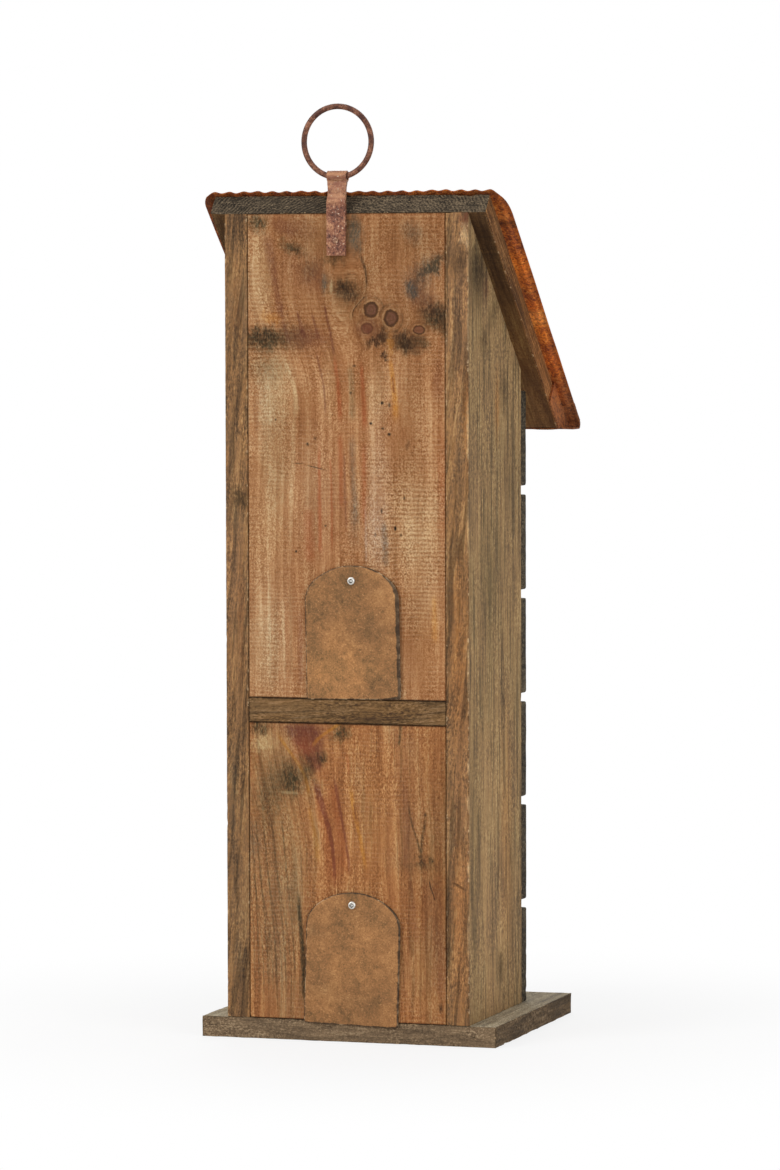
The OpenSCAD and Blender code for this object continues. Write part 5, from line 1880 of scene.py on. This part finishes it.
@dataclass
class Roof:
    """Sloped board and the rusted sheet over it."""

    def build(self) -> None:
        """Builds and dresses the board and the sheet."""
        level = (Vector((0, 0, 0.3643)), Vector((0, 0, -1)))
        plumb = (Vector((0, -0.08907, 0)), Vector((0, -1, 0)))
        piece = WornPiece(
            "roof_board", "roof-board", tilt=ROOF_PITCH, trims=(level, plumb), wear=0.35, chip=1.0, band=2.6,
            seed=41.0,
        ).build()
        low, high = self.board_box("roof_board")
        zones = (
            Zone(ROOF_SIDE, 0, 85.2), Zone(ROOF_SIDE, 0, -85.2, -1),
            Zone(ROOF_END, 1, -0.5),
        )
        # Painted shade: these two marks darken the roof board's sides and underside.
        underside_shade = (
            Mark(-30, -7, 120, 80, Ink.CRACK_AND_SHADE, 0.5),
            Mark(-190, -7, 120, 80, Ink.BROWN, 0.4),
        )
        finish = WoodFinish(
            "roof pine", ROOF_UNDER, zones, (), underside_shade, wear_ink=Ink.CREAM, wear=0.8, wear_reach=1.0,
            arris_shade=0.5, arris_shade_reach=0.6, slope=ROOF_PITCH,
        )
        dress(piece, finish.material(low, high))
        sheet = WornPiece(
            "roof_sheet", "roof-sheet", from_box=False, tilt=ROOF_PITCH, step=3.2, wear=0.0, chip=0.0,
            cuts_near=(0.6,), crumple=0.75, sharp=60.0, seed=47.0,
        ).build()
        dress(sheet, RustFinish().material())

    def board_box(self, node: str) -> tuple[Vector, Vector]:
        """Finds the node's corners in the board's own level frame, from the high end.

        Args:
            node: Name of the node.

        Returns:
            Lowest and highest corner.
        """
        low, high = tilted_box(node, ROOF_PITCH)
        start = Matrix.Rotation(-ROOF_PITCH, 3, "X") @ ROOF_TOP
        return low - start, high - start


UPPER_GREY = (
    (-10.0, -30.0, 14.0, 0.35), (26.0, -38.0, 7.0, 0.3), (14.0, -20.0, 9.0, 0.25), (-20.0, -66.0, 10.0, 0.3),
    (0.0, -4.0, 18.0, 0.3), (12.0, -54.0, 20.0, -0.75), (-12.0, -52.0, 10.0, -0.3),
)
LOWER_GREY = (
    (25.0, -16.0, 6.0, 0.6), (-14.0, -14.0, 9.0, -0.3), (20.0, -48.0, 10.0, 0.35), (-2.0, -60.0, 16.0, 0.35),
    (0.0, -6.0, 12.0, 0.2), (0.0, -38.0, 16.0, -0.25),
)


@dataclass
class CleanOutDoor:
    """One arched metal door on its screw: a bent sheet whose rim is rolled back."""

    level: str
    lift: float
    seed: float
    stand: float
    roll: float
    band: float
    grey: tuple[tuple[float, float, float, float], ...]
    insets: tuple[float, ...] = (0.3, 0.45)
    step: float = 1.6

    def build(self) -> None:
        """Builds and dresses the door, and dresses its screw."""
        node = f"{self.level}_cleanout_door"
        low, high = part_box(f"{self.level}_door_screw")
        pivot = (Vector(low) + Vector(high)) / 2
        door = self.sheet(node)
        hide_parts(node)
        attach(door, f"{self.level}_door")
        finish = BronzeFinish(f"{self.level} door bronze", self.lift, self.seed, self.grey, self.band)
        dress(door, finish.material(pivot))
        zinc = BareMetalFinish(f"{self.level} zinc", "e6e3dd", "b5b2ab", 0.34, 0.0, 1.05)
        repaint(f"{self.level}_door_screw", zinc.material(pivot))

    def sheet(self, node: str) -> bpy.types.Object:
        """Builds the bent sheet from the CAD door's outline.

        Args:
            node: Name of the CAD node.

        Returns:
            The new object.
        """
        bm = bmesh.new()
        take_cad(bm, node)
        low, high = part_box(node)
        outer = [f for f in bm.faces if f.normal.y > 0.9]
        edges = self.outline(outer, (Vector(low) + Vector(high)) / 2)
        rim = [(e.verts[0].co.copy(), e.verts[1].co.copy()) for e in edges]
        for inset in self.insets:
            bmesh.ops.inset_region(
                bm, faces=outer, thickness=inset * MM, use_boundary=True, use_even_offset=False,
            )
        for axis, start, end in ((Vector((1, 0, 0)), low[0], high[0]), (Vector((0, 0, 1)), low[2], high[2])):
            count = round((end - start) / (self.step * MM))
            for k in range(1, count):
                cut(bm, axis * (start + (end - start) * k / count), axis)
        self.bend(bm, rim, Vector(low), Vector(high))
        return as_object(bm, f"{self.level}-door-sheet", 38.0)

    def outline(self, outer: Sequence[bmesh.types.BMFace], middle: Vector) -> list[bmesh.types.BMEdge]:
        """Finds the edges round the door's face, without those of the screw's hole.

        Args:
            outer: Faces of the door's outer side.
            middle: Middle of the door.

        Returns:
            The edges.
        """
        inside = set(outer)
        edges = {e for f in outer for e in f.edges if sum(g in inside for g in e.link_faces) == 1}
        return [e for e in edges if self.is_far(e, edges, middle)]

    def is_far(self, edge: bmesh.types.BMEdge, edges: set[bmesh.types.BMEdge], middle: Vector) -> bool:
        """Tells the outline's edges, which are long or lie far out, from the small ones round the hole.

        Args:
            edge: Edge in question.
            edges: All edges of the outline.
            middle: Middle of the door.

        Returns:
            Whether the edge belongs to the outline.
        """
        top = max(v.co.z for e in edges for v in e.verts)
        spot = (edge.verts[0].co + edge.verts[1].co) / 2
        return abs(spot.x - middle.x) > 6.0 * MM or spot.z > top - 3.0 * MM or spot.z < middle.z

    def bend(
        self, bm: bmesh.types.BMesh, rim: Sequence[tuple[Vector, Vector]], low: Vector, high: Vector,
    ) -> None:
        """Lifts the free side off the wood, rolls the rim back and notes how near each point is to it.

        Args:
            bm: The door's mesh.
            rim: Ends of each piece of the outline.
            low: Lowest corner of the door.
            high: Highest corner of the door.
        """
        depth = bm.verts.layers.float.new("rim_depth")
        free = bm.verts.layers.float.new("free_side")
        middle, half = (low + high) / 2, (high - low) / 2
        for vert in bm.verts:
            here = vert.co.copy()
            gap = min(self.distance(here, a, b) for a, b in rim) / MM
            side = max(0.0, min(1.0, (middle.x - here.x) / half.x))
            upper = max(0.0, min(1.0, (here.z - low.z) / (high.z - low.z)))
            weight = max(0.0, min(1.0, (side - 0.62) / 0.3)) * (0.55 + 0.45 * upper)
            vert[depth], vert[free] = gap, weight
            lifted = self.stand * side * side * (0.75 + 0.25 * upper)
            lifted += 0.12 * (0.5 + noise.noise(here / (22.0 * MM) + Vector((self.seed * 9.0, 0.0, 0.0))))
            reach = 0.8 + self.band * weight
            if here.y > middle.y and gap < reach:
                lifted -= (0.25 + self.roll * weight) * (1.0 - gap / reach) ** 1.6
            vert.co.y = here.y + lifted * MM

    def distance(self, here: Vector, start: Vector, end: Vector) -> float:
        """Measures how far a point is from a piece of the outline, seen square on.

        Args:
            here: The point.
            start: One end of the piece.
            end: Its other end.

        Returns:
            The distance, in metres.
        """
        along = Vector((end.x - start.x, end.z - start.z))
        gap = Vector((here.x - start.x, here.z - start.z))
        share = max(0.0, min(1.0, gap.dot(along) / max(along.length_squared, 1e-12)))
        return (gap - along * share).length


@dataclass
class FoldedStrap(WornPiece):
    """Strap whose bend is creased and pinched in, below a loop that stands clear of the ring's wire."""

    creases: tuple[tuple[float, float, float], ...] = (
        (501.6, 0.45, 1.1), (505.6, -0.3, 1.2), (509.3, 0.4, 1.0),
    )
    pinch: float = 0.06
    middle: float = 5.2
    axle: tuple[float, float] = (80.5, 516.35)
    inner: float = 2.25
    opened: float = 0.12

    def crumpled(self, here: Vector) -> Vector:
        """Returns the push of the creases at a point.

        Args:
            here: The point.

        Returns:
            The push, in metres.
        """
        z = here.z / MM
        out = sum(push * math.exp(-(((z - at) / wide) ** 2)) for at, push, wide in self.creases)
        waist = math.exp(-(((z - 507.0) / 5.0) ** 2))
        sway = 0.3 * noise.noise(Vector((0.0, 0.0, z / 9.0 + self.seed)))
        push = Vector(((self.middle * MM - here.x) * self.pinch * waist + sway * waist * MM, out * MM, 0.0))
        arm = Vector((0.0, here.y - self.axle[0] * MM, here.z - self.axle[1] * MM))
        if arm.length < self.inner * MM:
            push += arm.normalized() * (self.opened * MM)
        return push


@dataclass
class Hanger:
    """Folded strap, its nail and the ring."""

    def build(self) -> None:
        """Dresses the strap, the nail and the ring."""
        piece = FoldedStrap(
            "hanger_strap", "folded-strap", from_box=False, step=1.6, wear=0.22, chip=0.35, band=1.0,
            dent=0.22, dent_size=6.0, cuts_near=(0.4, 0.9), seed=61.0, sharp=40.0, spared_above=511.5,
        ).build()
        strap = WornPaintFinish("strap paint", "57362c", "865540", "b88662", "e6d3bc", 0.8, lit_above=0.5)
        dress(piece, strap.material())
        nail = WornPaintFinish("nail paint", "76503f", "a47c60", "d9bda0", "efe0cc", 0.8)
        repaint("strap_nail", nail.material())
        ring = WornPaintFinish("ring paint", "43251f", "68412f", "98674f", "bb9f92", 0.2, 1.3)
        repaint("hanger_ring", ring.material())


@dataclass
class Nails:
    """Nails of the slats, the roof and the base."""

    def build(self) -> None:
        """Dresses the nails."""
        repaint("slat_nails", BareMetalFinish("slat nail steel", "8d8780", "5c564f", 0.45, 0.7).material())
        repaint("roof_nails", BareMetalFinish("roof nail steel", "8a7f74", "5f5348", 0.5, 0.8).material())
        repaint("base_nails", BareMetalFinish("base nail steel", "8d8780", "5c564f", 0.45, 0.5).material())


@dataclass
class SoftLamp:
    """One large square lamp that looks at the house."""

    name: str
    place: tuple[float, float, float]
    size: float
    power: float

    def build(self, target: Vector) -> None:
        """Hangs the lamp.

        Args:
            target: Point that it looks at.
        """
        data = bpy.data.lights.new(self.name, "AREA")
        data.shape = "SQUARE"
        data.size = self.size
        data.energy = self.power
        lamp = bpy.data.objects.new(self.name, data)
        lamp.location = self.place
        lamp.rotation_euler = (target - Vector(self.place)).to_track_quat("-Z", "Y").to_euler()
        bpy.context.scene.collection.objects.link(lamp)


@dataclass
class Studio:
    """Camera, lamps, pale floor and white surroundings."""

    eye: Vector = field(default_factory=lambda: Vector((-0.9865, 3.0662, 0.4440)))
    yaw: float = math.radians(17.82)
    down: float = math.radians(3.10)
    roll: float = math.radians(-0.14)
    lens: float = 162.77
    sky: float = 0.29
    glow: float = 0.80
    lamps: tuple[SoftLamp, ...] = (
        SoftLamp("key", (1.7, 2.3, 1.7), 1.3, 40.0),
        SoftLamp("fill", (-2.6, 1.5, 1.1), 1.6, 33.0),
        SoftLamp("front", (0.6, -2.6, 1.8), 1.6, 26.0),
        SoftLamp("top", (0.0, 0.2, 2.8), 1.4, 17.0),
    )

    def build(self) -> None:
        """Builds the studio round the house."""
        self.camera()
        for lamp in self.lamps:
            lamp.build(Vector((0, 0, 0.28)))
        self.floor()
        self.surroundings()
        bpy.context.scene.view_settings.view_transform = "Standard"

    def camera(self) -> None:
        """Puts the camera where the photograph was taken from."""
        flat = Vector((math.sin(self.yaw), -math.cos(self.yaw), 0))
        right, up = flat.cross(Vector((0, 0, 1))), Vector((0, 0, 1))
        ahead = flat * math.cos(self.down) - up * math.sin(self.down)
        up = up * math.cos(self.down) + flat * math.sin(self.down)
        c, n = math.cos(self.roll), math.sin(self.roll)
        right, up = right * c + up * n, up * c - right * n
        data = bpy.data.cameras.new("camera")
        data.lens = self.lens
        data.sensor_width = 36.0
        data.sensor_fit = "AUTO"
        data.clip_start, data.clip_end = 0.1, 60.0
        camera = bpy.data.objects.new("camera", data)
        camera.matrix_world = Matrix.Translation(self.eye) @ Matrix((right, up, -ahead)).transposed().to_4x4()
        bpy.context.scene.collection.objects.link(camera)
        bpy.context.scene.camera = camera

    def floor(self) -> None:
        """Lays a wide pale floor that shows the house's shadow and is white elsewhere."""
        bm = bmesh.new()
        bmesh.ops.create_grid(bm, x_segments=1, y_segments=1, size=12.0)
        mesh = bpy.data.meshes.new("floor")
        bm.to_mesh(mesh)
        bm.free()
        floor = bpy.data.objects.new("floor", mesh)
        bpy.context.scene.collection.objects.link(floor)
        mat, s, shader = new_material("pale floor")
        place = s.place()
        shader.inputs["Roughness"].default_value = 0.9
        cloud = s.mix(s.noise(place, 3.0), (0.86, 0.86, 0.86, 1), (0.9, 0.9, 0.9, 1))
        s.feed(shader.inputs["Base Color"], cloud)
        glow = s.add("Emission", {"Color": (1, 1, 1, 1), "Strength": 1.0})
        away = s.add("VectorMath", {0: place}, "Value", operation="LENGTH")
        share = self.seen(s) * s.spread(away, 0.14, 0.42, self.glow, 1.0)
        blend = s.add("MixShader", {0: share, 1: Term(s, shader.outputs[0]), 2: glow})
        out = next(n for n in s.tree.nodes if n.type == "OUTPUT_MATERIAL")
        s.feed(out.inputs["Surface"], blend)
        mesh.materials.append(mat)

    def seen(self, s: Shade) -> Term:
        """Picks the rays from the camera, and those off or through a clear surface.

        Args:
            s: Shade of the floor or the world.

        Returns:
            1 for such rays and 0 for others.
        """
        path = s.outs("LightPath")
        shown = s.math("MAXIMUM", path["Is Camera Ray"], path["Is Glossy Ray"])
        return s.math("MAXIMUM", shown, path["Is Transmission Ray"])

    def surroundings(self) -> None:
        """Makes the world white to look at and soft as a light."""
        world = bpy.data.worlds.new("white surroundings")
        bpy.context.scene.world = world
        world.use_nodes = True
        s = Shade(world.node_tree)
        back = next(n for n in world.node_tree.nodes if n.type == "BACKGROUND")
        back.inputs["Color"].default_value = (1, 1, 1, 1)
        s.feed(back.inputs["Strength"], s.spread(self.seen(s), 0.0, 1.0, self.sky, 1.0))


def main() -> None:
    """Builds the whole scene in order."""
    Studio().build()
    Carcass().build()
    FrontSlats().build()
    Roof().build()
    CleanOutDoor("upper", 0.0, 0.31, 1.3, 0.75, 2.2, UPPER_GREY).build()
    CleanOutDoor("lower", 0.015, 0.87, 0.5, 0.3, 0.6, LOWER_GREY).build()
    Hanger().build()
    Nails().build()


if __name__ == "__main__":
    main()
